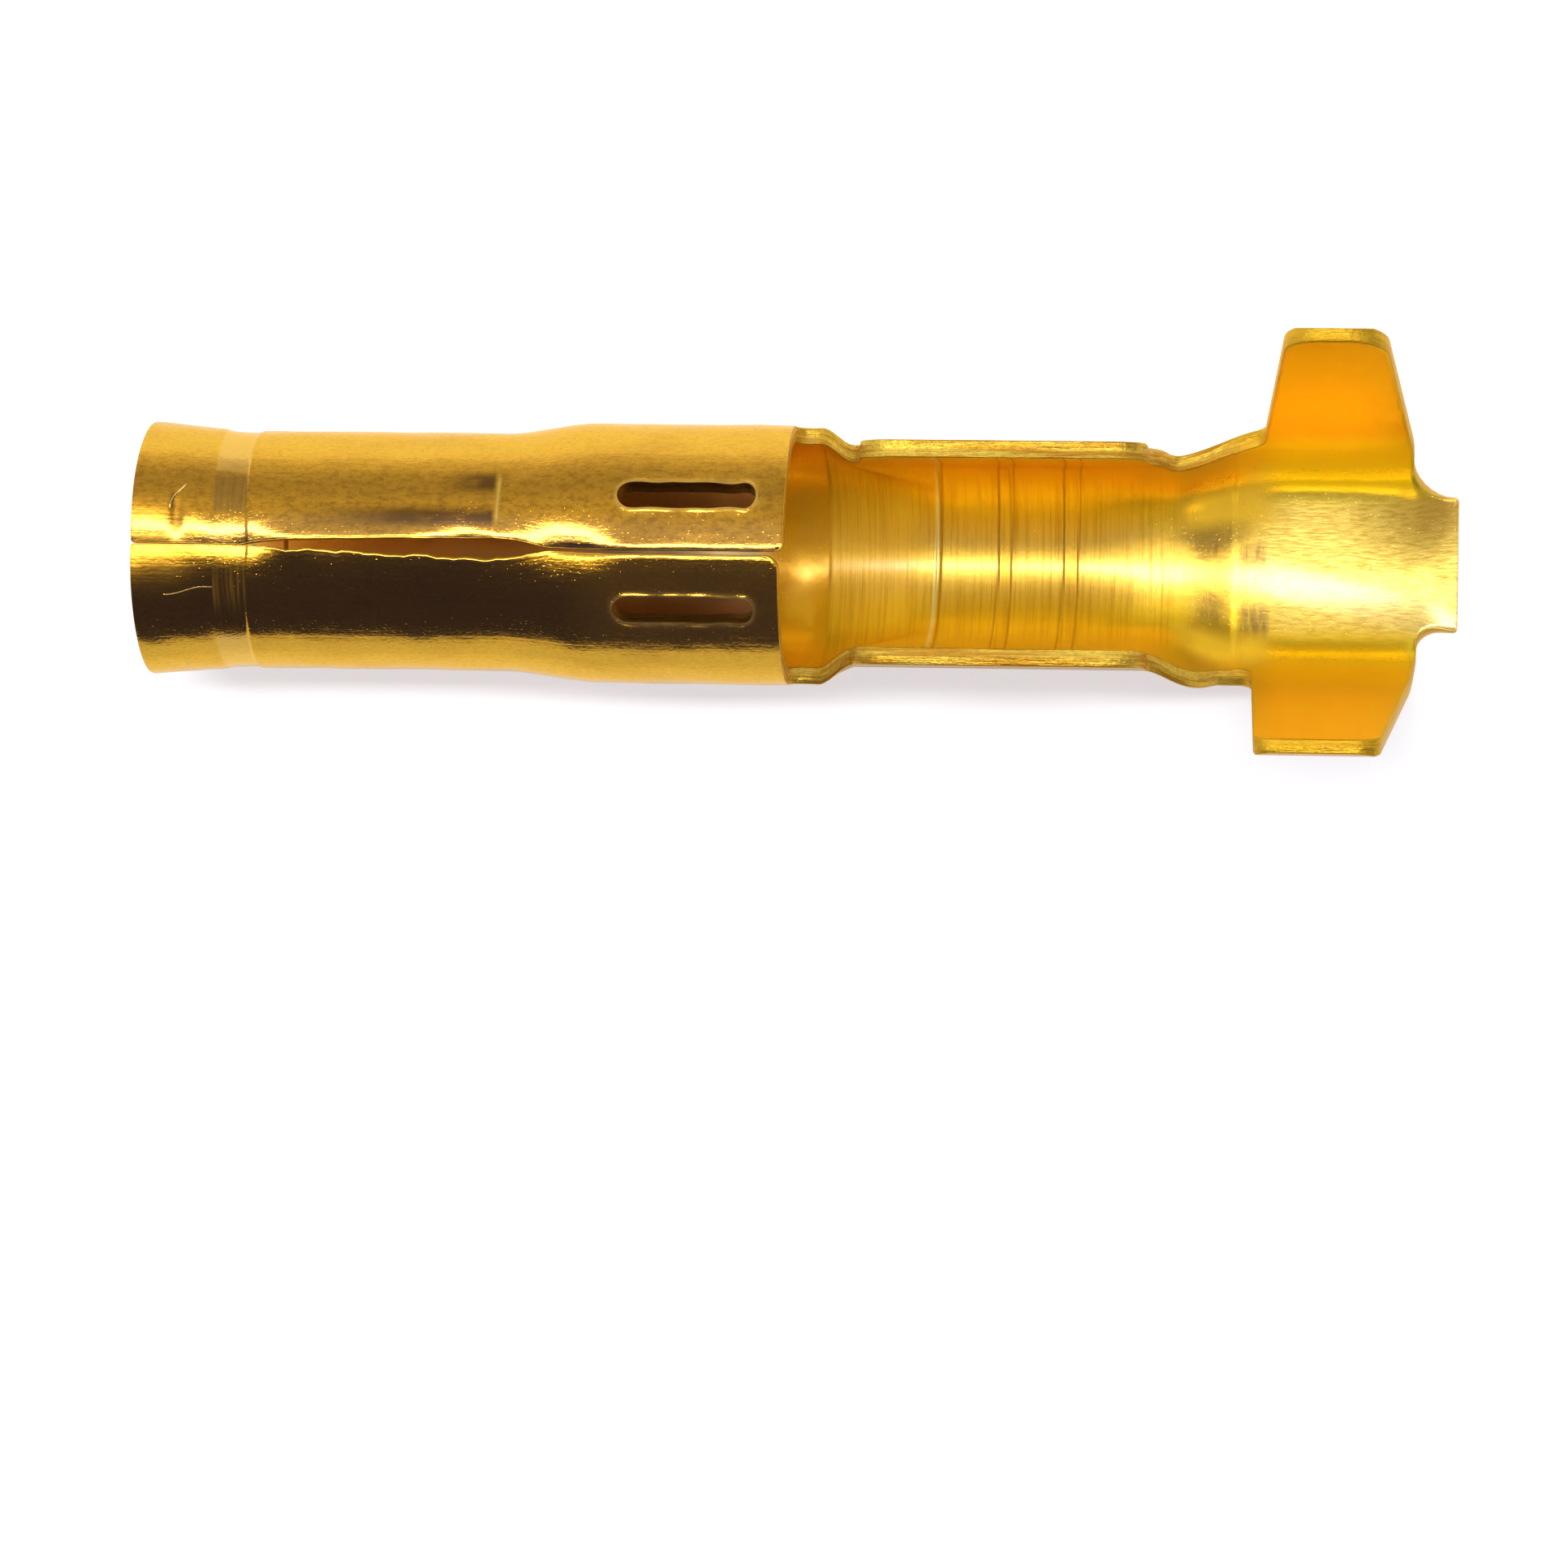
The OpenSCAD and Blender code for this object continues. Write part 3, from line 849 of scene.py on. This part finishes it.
# Scratches near the mouth
LONG_SCRATCH_AT = (0.6, 1.62, 0.1)
LONG_SCRATCH_ACROSS = -7.05
LONG_SCRATCH_W = 0.014
LONG_SCRATCH_BEND = 0.08
LONG_SCRATCH_WAVE = (4.2, 4.4)
SHORT_SCRATCH_FROM = 0.75
SHORT_SCRATCH_ACROSS = (6.7, 7.3, 0.1)
SHORT_SCRATCH_W = 0.028
SHORT_SCRATCH_CURVE = 0.9

# Heights of the fine relief, and the share of the brushing that is smoothed off the tail's floor
DIE_LINE_H = 0.005
BRUSH_H = 0.011
STREAK_H = 0.03
PEEL_H = 0.005
PIT_H = 0.002
GRAIN_H = 0.003
GRIT_H = 0.02
SCRATCH_H = 0.01
TAIL_SMOOTHED = 0.7

# Roughness, what each part of the finish adds to it, and the share that the tail's floor is spared
ROUGH_BASE = 0.11
ROUGH_LINES = 0.1
ROUGH_BARRELS = 0.1
ROUGH_WINGS = 0.05
ROUGH_WORN = 0.12
ROUGH_CUT = 0.2
TAIL_SPARED = 0.5

# How far each part is dulled from bright metal to satin, and the share that the tail's corners are spared
DULL_TROUGH = 0.3
DULL_LOWER = 0.15
DULL_CORNERS = 0.12
DULL_NECK = 0.25
DULL_START = 0.4
DULL_WIDENING = 0.15
DULL_FLANKS = 0.7
DULL_TAIL = 0.75
DULL_EDGES = 0.35
DULL_HAZE = 0.04
DULL_BORE = 0.15
DULL_WORN = 0.2
DULL_RING = 0.15
CORNERS_SPARED = 0.7

# The clear sheen: what is there, what a brighter place adds, and what marks in the trough take away
SHEEN_OUTSIDE = (0.08, 0.57)
SHEEN_TROUGH = (0.6, 0.35)
SHEEN_ROUGH = 0.2
SHEEN_IOR = 1.7
GROOVE_LOSS = 0.6
CROSSING_LOSS = 0.75
BRUSH_LOSS = 0.6


def brass_places(n, blank, grains):
    """Where each part of the finish lies, as masks from 0 to 1."""
    at = SimpleNamespace()
    at.station = n.node("ShaderNodeSeparateXYZ", None, {0: blank}, "X")
    at.across = n.node("ShaderNodeSeparateXYZ", None, {0: blank}, "Y")
    at.aside = n.math("ABSOLUTE", at.across, 0)
    at.upper_half = n.smooth(at.across, *UPPER_HALF_FROM)
    at.worn = n.node("ShaderNodeAttribute", {"attribute_name": "wear"}, None, "Fac")

    # The two skins and the cut edges between them
    depth = n.node("ShaderNodeSeparateXYZ", None, {0: blank}, "Z")
    behind = n.smooth(at.station, *BARRELS_FROM)
    inside = n.smooth(depth, *INNER_SKIN_FROM)
    at.outside = 1 - inside
    at.in_barrels = inside * behind
    at.in_socket = inside * (1 - behind)
    at.cut_edge = n.between(depth, *CUT_EDGE_AT)

    # The outside of the socket
    bowed = at.station + RING_BOW * n.math("SINE", at.aside / BODY_R, 0)
    at.ring = n.between(bowed, RING_START, RING_START + RING_LEN, RING_EDGE) * at.outside
    # Painted reflection of the pale floor on the ring's sides
    at.ring_pale = at.ring * n.between(at.across, *RING_PALE_AT)
    # Painted shade on the top of the ring
    at.ring_dark = at.ring * (n.between(at.across, *RING_DARK_ABOVE) + n.between(at.across, *RING_DARK_BELOW))
    at.ring_haze = at.ring * n.between(at.across, *RING_HAZE_AT) * n.smooth(grains.hoop_lines, *HOOP_RANGE)
    at.sides = at.outside * (1 - n.smooth(at.aside, *SIDES_TO))
    # Painted shade on a band of the upper half
    at.upper_band = at.outside * n.between(at.across, *UPPER_BAND_AT)
    at.haze = at.outside * n.smooth(at.station, *HAZE_FROM) * (1 - n.smooth(at.across, *HAZE_TO))
    at.mouth = at.outside * (1 - n.smooth(at.station, *MOUTH_TO)) * n.smooth(at.aside, *MOUTH_TOP_FROM)
    at.slot_wall = at.cut_edge * n.between(at.station, *SLOT_WALLS_AT)
    at.bore_dim = n.smooth(at.station, *BORE_DIM_FROM)
    films = [n.between(at.station, *along) * n.smooth(at.station, *thickening) * n.between(at.across, *across)
             for along, thickening, across in FILMS]
    at.film = sum(films) * n.smooth(grains.clouds, *FILM_RANGE) * at.outside

    # The barrels, from the neck to the tail
    at.tail = at.in_barrels * n.smooth(at.station, *TAIL_FROM)
    at.walls = at.in_barrels * n.smooth(at.aside, *WALLS_FROM)
    at.tail_floor = at.tail * (1 - at.walls)
    at.widening = at.in_barrels * n.between(at.station, *WIDENING_AT) * (1 - at.walls)
    at.neck = at.in_barrels * (1 - n.smooth(at.station, *NECK_TO))
    at.brushed = at.in_barrels * (1 - at.neck) * (1 - at.widening) * (1 - at.tail * at.walls)
    at.start = at.in_barrels * (1 - at.neck) * (1 - n.smooth(at.station, *START_TO))
    at.start = at.start * (1 - n.smooth(at.aside, *START_FLOOR_TO))
    at.slopes = at.in_barrels * n.smooth(at.aside, *SLOPES_FROM)
    at.lower_side = 1 - n.smooth(at.across, *LOWER_SIDE_TO)
    at.crossing = at.in_barrels * n.between(at.station, *CROSSING_AT)
    at.flanks = n.between(at.across, *FLANK_ABOVE) + n.between(at.across, *FLANK_BELOW)
    at.flanks = at.flanks * at.in_barrels * n.between(at.station, *FLANKS_AT)
    at.corners = at.in_barrels * n.between(at.aside, *CORNERS_AT) * n.smooth(at.station, *CORNERS_FROM)
    at.far_corner = at.tail_floor * n.smooth(at.station, *FAR_CORNER_FROM)
    at.far_corner = at.far_corner * n.smooth(at.across, *FAR_CORNER_ABOVE)
    leaning = at.across + TAIL_BAND_LEAN * (at.station - TAIL_BAND_MIDDLE)
    at.tail_band = at.tail_floor * n.between(leaning, *TAIL_BAND_AT)
    # Painted dark reflections beside the crease, broken up by a blotchy noise
    stains = [strength * n.between(at.station, *along) * n.between(at.across, *across)
              for strength, along, across in STAINS]
    smeared = 1 - SMEAR_SHARE + SMEAR_SHARE * n.smooth(grains.smears, *SMEAR_RANGE)
    at.stains = sum(stains) * at.in_barrels * smeared

    # The grooves
    upright = at.station - GROOVE_SKEW * at.across - GROOVE_LEAN * n.smooth(at.aside, *GROOVE_LEAN_FROM)
    at.lit_line = n.between(upright, *LIT_LINE_AT)
    at.shaded_lines = n.between(upright, *SHADED_LINE_AT)
    at.in_grooves = at.lit_line
    for groove in GROOVES[1:]:
        at.in_grooves = at.in_grooves + n.between(upright, *groove, GROOVE_BLUR)
        for edge in groove:
            at.shaded_lines = at.shaded_lines + n.line(upright - edge, GROOVE_LINE_W)

    # The scratches
    bend = LONG_SCRATCH_BEND * n.math("SINE", LONG_SCRATCH_WAVE[0] * at.station - LONG_SCRATCH_WAVE[1], 0)
    long_scratch = n.line(at.across - LONG_SCRATCH_ACROSS + bend, LONG_SCRATCH_W)
    long_scratch = long_scratch * n.between(at.station, *LONG_SCRATCH_AT)
    down = SHORT_SCRATCH_ACROSS[1] - at.across
    curve = SHORT_SCRATCH_FROM + SHORT_SCRATCH_CURVE * down * down
    short_scratch = n.line(at.station - curve, SHORT_SCRATCH_W)
    short_scratch = short_scratch * n.between(at.across, *SHORT_SCRATCH_ACROSS)
    at.scratch = (long_scratch + short_scratch) * at.outside
    return at


def grain_lines(at, grains):
    """The lines that each skin and the cut edges are drawn with, from 0 to 1."""
    outer_lines = grains.die_lines + (grains.hoop_lines - grains.die_lines) * at.ring
    barrel_lines = grains.brushing + FLECK_LINE_SHARE * (grains.flecks - grains.brushing) * at.tail_floor
    lines = outer_lines + (barrel_lines - outer_lines) * at.in_barrels
    return lines + (grains.streaks - lines) * at.cut_edge


def brass_bump(n, at, grains, lines):
    """Fine relief of the lines, grain, grit, pits and scratches."""
    brushed = at.brushed * (1 - TAIL_SMOOTHED * at.tail_floor) * (1 - at.flanks) * (1 - at.corners)
    height = lines * (DIE_LINE_H * at.outside + BRUSH_H * brushed + STREAK_H * at.cut_edge)
    height = height + PEEL_H * grains.peel - PIT_H * n.smooth(grains.specks, *PIT_RANGE)
    height = height + GRAIN_H * grains.fine * at.outside + GRIT_H * grains.grit * at.cut_edge
    height = height + SCRATCH_H * at.scratch
    return n.node("ShaderNodeBump", None, {"Strength": 1, "Distance": MM, "Height": height})


def outer_tint(n, at, grains):
    """Colour of the outer skin: clouds, grain, mottling, darker patches, a painted shade band on the upper
    half, the ring's painted pale reflection and painted shade, rims rubbed bright as wear and painted
    highlight, and scratches.
    """
    tint = n.mix_color(grains.peel, *OUTER_TINT)
    tint = n.mix_color(at.sides, tint, SIDE_TINT)
    tint = n.mix_color(CLOUD_SHARE * n.smooth(grains.clouds, *CLOUD_RANGE), tint, CLOUD_TINT)
    # Painted shade on a band of the upper half
    tint = n.mix_color(UPPER_BAND_SHARE * at.upper_band, tint, UPPER_BAND_TINT)
    tint = n.mix_color(GRAIN_SHARE * n.smooth(grains.fine, *GRAIN_RANGE), tint, GRAIN_TINT)
    mottled = MOTTLE_SHARE + UPPER_MOTTLE_SHARE * n.smooth(at.across, *MOTTLE_FROM)
    tint = n.mix_color(mottled * n.smooth(grains.mottle, *MOTTLE_RANGE), tint, MOTTLE_TINT)
    tint = n.mix_color(FILM_SHARE * at.film, tint, FILM_TINT)
    # Painted reflection of the pale floor on the ring's sides
    tint = n.mix_color(RING_PALE_SHARE * at.ring_pale, tint, RING_PALE_TINT)
    # Painted shade on the top of the ring, darker on the upper half
    lower_ring = n.mix_color(grains.hoop_lines, *LOWER_RING_TINT)
    upper_ring = n.mix_color(grains.hoop_lines, *UPPER_RING_TINT)
    ring_tint = n.mix_color(at.upper_half, lower_ring, upper_ring)
    tint = n.mix_color(RING_DARK_SHARE * at.ring_dark, tint, ring_tint)
    # Rims rubbed bright: partly wear, partly a painted highlight along the edges
    tint = n.mix_color(WORN_SHARE * at.worn, tint, WORN_TINT)
    return n.mix_color(at.scratch, tint, SCRATCH_TINT)


def barrel_tint(n, at, grains):
    """Colour of the barrels' inner skin: the brushed trough, walls, wings with painted shade on the upper
    one, neck, tail with painted shade in its far corner, corners with a painted highlight, painted shade
    across the widening, painted dark reflections beside the crease, and the grooves' painted lit and shaded
    lines.
    """
    brush_shade = n.smooth(grains.brushing, *BRUSH_RANGE) * at.brushed
    tint = n.mix_color(brush_shade, *TROUGH_TINT)
    tint = n.mix_color(at.slopes, tint, n.mix_color(brush_shade, *SLOPE_TINT))
    tint = n.mix_color(START_SHARE * at.start, tint, n.mix_color(brush_shade, *START_TINT))
    tint = n.mix_color(at.walls, tint, WALL_TINT)
    # Painted shade: the upper wing darkens towards its top
    wing_tint = n.mix_color(n.smooth(at.across, *UPPER_WING_FROM), *WING_TINT)
    tint = n.mix_color(at.tail * at.walls, tint, wing_tint)
    tint = n.mix_color(at.neck, tint, NECK_TINT)
    fleck_tint = n.mix_color(n.smooth(grains.flecks, *FLECK_RANGE), *FLECK_TINT)
    tint = n.mix_color(at.tail_floor, tint, fleck_tint)
    # Painted shade on the tail's far upper corner
    tint = n.mix_color(FAR_CORNER_SHARE * at.far_corner, tint, FAR_CORNER_TINT)
    # Painted highlight: the upper corner is paler than the lower
    tint = n.mix_color(at.corners, tint, n.mix_color(at.upper_half, *CORNER_TINT))
    tint = n.mix_color(at.flanks, tint, FLANK_TINT)
    # Painted shade across the widening
    tint = n.mix_color(CROSSING_SHARE * at.crossing * (1 - at.flanks), tint, CROSSING_TINT)
    # Painted dark reflections beside the crease
    tint = n.mix_color(STAIN_SHARE * at.stains, tint, STAIN_TINT)
    tint = n.mix_color(LIT_LINE_SHARE * at.lit_line, tint, LIT_LINE_TINT)
    return n.mix_color(SHADED_LINE_SHARE * at.shaded_lines, tint, SHADED_LINE_TINT)


def edge_tint(n, at, grains):
    """Colour of the cut edges: streaked and gritty, plainer on the tall wings."""
    tint = n.mix_color(n.smooth(grains.streaks, *STREAK_RANGE), *EDGE_TINT)
    tint = n.mix_color(GRIT_SHARE * n.smooth(grains.grit, *GRIT_RANGE), tint, GRIT_TINT)
    return n.mix_color(WING_EDGE_SHARE * n.smooth(at.station, *WING_EDGE_FROM), tint, WING_EDGE_TINT)


def brass_roughness(at, lines):
    in_barrels = at.in_barrels * (1 - TAIL_SPARED * at.tail_floor) + at.brushed * (1 - at.tail_floor)
    roughness = ROUGH_BASE + ROUGH_LINES * lines + ROUGH_BARRELS * in_barrels
    roughness = roughness + ROUGH_WINGS * (at.walls * at.tail + at.corners)
    return roughness + ROUGH_WORN * (at.mouth + at.worn) + ROUGH_CUT * (at.cut_edge + at.in_socket)


def dulling(at):
    """How far the brass is dulled to satin, from 0 to 1."""
    trough = (DULL_TROUGH + DULL_LOWER * at.lower_side) * (1 - at.widening)
    before_tail = trough + DULL_WIDENING * at.widening + DULL_FLANKS * at.flanks
    dulled = before_tail * (1 - at.tail) + DULL_TAIL * at.tail_floor * (1 - CORNERS_SPARED * at.corners)
    dulled = dulled + DULL_CORNERS * at.corners + DULL_NECK * at.neck + DULL_START * at.start
    matte = at.in_barrels * dulled + DULL_EDGES * at.cut_edge * (1 - at.slot_wall) + DULL_HAZE * at.haze
    matte = matte + DULL_BORE * at.in_socket * (1 - at.bore_dim)
    return matte + DULL_WORN * at.worn * (1 - at.cut_edge) + DULL_RING * at.ring_haze


def clear_sheen(n, at, grains):
    """Sheen on the upper lips, along the bottom of the trough and in the band on the tail."""
    lips = SHEEN_OUTSIDE[0] + SHEEN_OUTSIDE[1] * n.smooth(at.across, *LIP_SHEEN_FROM)
    trough = SHEEN_TROUGH[0] + SHEEN_TROUGH[1] * n.smooth(at.station, *REAR_SHEEN_FROM)
    trough = trough * (1 - n.smooth(at.aside, *TROUGH_SHEEN_TO)) * (1 - at.tail)
    trough = trough * (1 - GROOVE_LOSS * at.in_grooves) * (1 - CROSSING_LOSS * at.crossing)
    trough = trough * (1 - BRUSH_LOSS * n.smooth(grains.brushing, *BRUSH_DULL_RANGE))
    sheen = lips * at.outside * (1 - at.sides) + at.in_barrels * (1 - at.stains) * (trough + at.tail_band)
    return sheen * (1 - at.cut_edge)


def brass_finish():
    """Rolled brass: die lines and specks outside, brushing in the barrels, streaks on the cut edges."""
    brass = bpy.data.materials.new("brass")
    n = Nodes(brass)
    blank = n.node("ShaderNodeAttribute", {"attribute_name": "blank"}, None, "Vector")
    grains = SimpleNamespace(**{name: n.noise(blank, *grain) for name, grain in GRAINS.items()})
    at = brass_places(n, blank, grains)
    lines = grain_lines(at, grains)
    tint = n.mix_color(at.in_barrels, outer_tint(n, at, grains), barrel_tint(n, at, grains))
    tint = n.mix_color(at.in_socket, tint, n.mix_color(at.bore_dim, *BORE_TINT))
    tint = n.mix_color(at.cut_edge, tint, edge_tint(n, at, grains))
    # Painted shade on the slots' cut walls, which face into the dark bore
    tint = n.mix_color(SLOT_WALL_SHARE * at.slot_wall, tint, SLOT_WALL_TINT)
    shader = n.node("ShaderNodeBsdfPrincipled", None, {
        "Base Color": tint,
        "Metallic": 1 - dulling(at),
        "Roughness": brass_roughness(at, lines),
        "Coat Weight": clear_sheen(n, at, grains),
        "Coat Roughness": SHEEN_ROUGH,
        "Coat IOR": SHEEN_IOR,
        "Specular Tint": GLOSS_TINT,
        "Normal": brass_bump(n, at, grains, lines),
    })
    n.node("ShaderNodeOutputMaterial", None, {"Surface": shader})
    return brass


terminal.data.materials.append(brass_finish())

# Camera, with its places in millimetres
PHOTO_PX = 1932
FOCAL_PX = 7000
SENSOR_MM = 36
EYE = Vector((10.515, -4.344, 114.18)) * MM
AIM = Vector((-0.267, -4.511, 2.7)) * MM
ROLL = math.radians(0.888)

camera_data = bpy.data.cameras.new("camera")
camera_data.sensor_width = SENSOR_MM
camera_data.lens = SENSOR_MM * FOCAL_PX / PHOTO_PX
camera_data.clip_start = 1 * MM
camera = bpy.data.objects.new("camera", camera_data)
bpy.context.scene.collection.objects.link(camera)
back = (EYE - AIM).normalized()
right = Vector((-math.sin(ROLL), math.cos(ROLL), 0)).cross(back).normalized()
up = back.cross(right)
camera.matrix_world = Matrix.Translation(EYE) @ Matrix((right, up, back)).transposed().to_4x4()
bpy.context.scene.camera = camera

# Floor, with its sizes in metres
FLOOR_R = 0.05
FLOOR_SIDES = 96
PAPER_TINT = (0.85, 0.85, 0.85, 1)
PAPER_GLOW = 0.58
MIRRORED_GLOW = 0.3
MIRRORED_FROM = (-0.011, -0.003)

floor_mesh = bpy.data.meshes.new("floor")
floor_bm = bmesh.new()
bmesh.ops.create_circle(floor_bm, cap_ends=True, segments=FLOOR_SIDES, radius=FLOOR_R)
floor_bm.to_mesh(floor_mesh)
floor_bm.free()
floor = bpy.data.objects.new("floor", floor_mesh)
bpy.context.scene.collection.objects.link(floor)


def paper_finish():
    """White paper, which the camera and the metal see a little lighter than the lamps alone make it."""
    paper = bpy.data.materials.new("paper")
    n = Nodes(paper)
    seen = n.node("ShaderNodeLightPath", None, None, "Is Camera Ray")
    mirrored = n.node("ShaderNodeLightPath", None, None, "Is Glossy Ray")
    place = n.node("ShaderNodeTexCoord", None, None, "Object")
    y = n.node("ShaderNodeSeparateXYZ", None, {0: place}, "Y")
    sheet = n.node("ShaderNodeBsdfDiffuse", None, {"Color": PAPER_TINT})
    strength = PAPER_GLOW * seen + MIRRORED_GLOW * mirrored * n.smooth(y, *MIRRORED_FROM)
    glow = n.node("ShaderNodeEmission", None, {"Strength": strength})
    both = n.node("ShaderNodeAddShader", None, {0: sheet, 1: glow})
    n.node("ShaderNodeOutputMaterial", None, {"Surface": both})
    return paper


floor.data.materials.append(paper_finish())

# Light, with its places and sizes in metres
LAMP_AT = Vector((0, 0.04, 0.28))
LAMP_RADIANCE = 10
LAMP_SIZE = (0.4, 0.045)
# Shades of the studio's wall round the terminal's length, from -Z over -Y, +Z and +Y back to -Z
WALL_SHADES = ((0.25, 0.04), (0.47, 0.04), (0.5, 0.6), (0.56, 0.6), (0.62, 0.53), (0.69, 0.47), (0.74, 0.7))
DARK_SIDE_TO = (0.46, 0.49)
DARK_SIDE_TINT = (0.036, 0.036, 0.18, 1)
END_FROM = (0.35, 0.5)
END_SHARE = 0.85
END_TINT = (0.09, 0.065, 0.06, 1)
GROUND_WHITE = (1, 1, 1, 1)

lamp_data = bpy.data.lights.new("softbox", "AREA")
lamp_data.shape = "RECTANGLE"
lamp_data.size, lamp_data.size_y = LAMP_SIZE
lamp_data.energy = LAMP_RADIANCE * math.pi * LAMP_SIZE[0] * LAMP_SIZE[1]
lamp = bpy.data.objects.new("softbox", lamp_data)
bpy.context.scene.collection.objects.link(lamp)
lamp.location = LAMP_AT
lamp.rotation_euler = (-math.atan2(LAMP_AT.y, LAMP_AT.z), 0, 0)


def studio_world():
    """A studio that is light towards +Y and dark towards -Y and +X, with a white ground for the camera."""
    world = bpy.data.worlds.new("studio")
    n = Nodes(world)
    towards = n.node("ShaderNodeTexCoord", None, None, "Generated")
    x = n.node("ShaderNodeSeparateXYZ", None, {0: towards}, "X")
    y = n.node("ShaderNodeSeparateXYZ", None, {0: towards}, "Y")
    z = n.node("ShaderNodeSeparateXYZ", None, {0: towards}, "Z")
    lean = n.math("ARCTAN2", y, z) / (2 * math.pi) + 0.5
    wall = n.node("ShaderNodeValToRGB", {"stops": WALL_SHADES}, {0: lean})
    wall = n.mix_color(END_SHARE * n.smooth(x, *END_FROM), wall, END_TINT)
    wall = n.mix_color(1 - n.smooth(lean, *DARK_SIDE_TO), wall, DARK_SIDE_TINT)
    seen = n.node("ShaderNodeLightPath", None, None, "Is Camera Ray")
    shade = n.mix_color(seen, wall, GROUND_WHITE)
    sky = n.node("ShaderNodeBackground", None, {"Color": shade})
    n.node("ShaderNodeOutputWorld", None, {"Surface": sky})
    return world


bpy.context.scene.world = studio_world()

bpy.context.scene.view_settings.view_transform = "Standard"
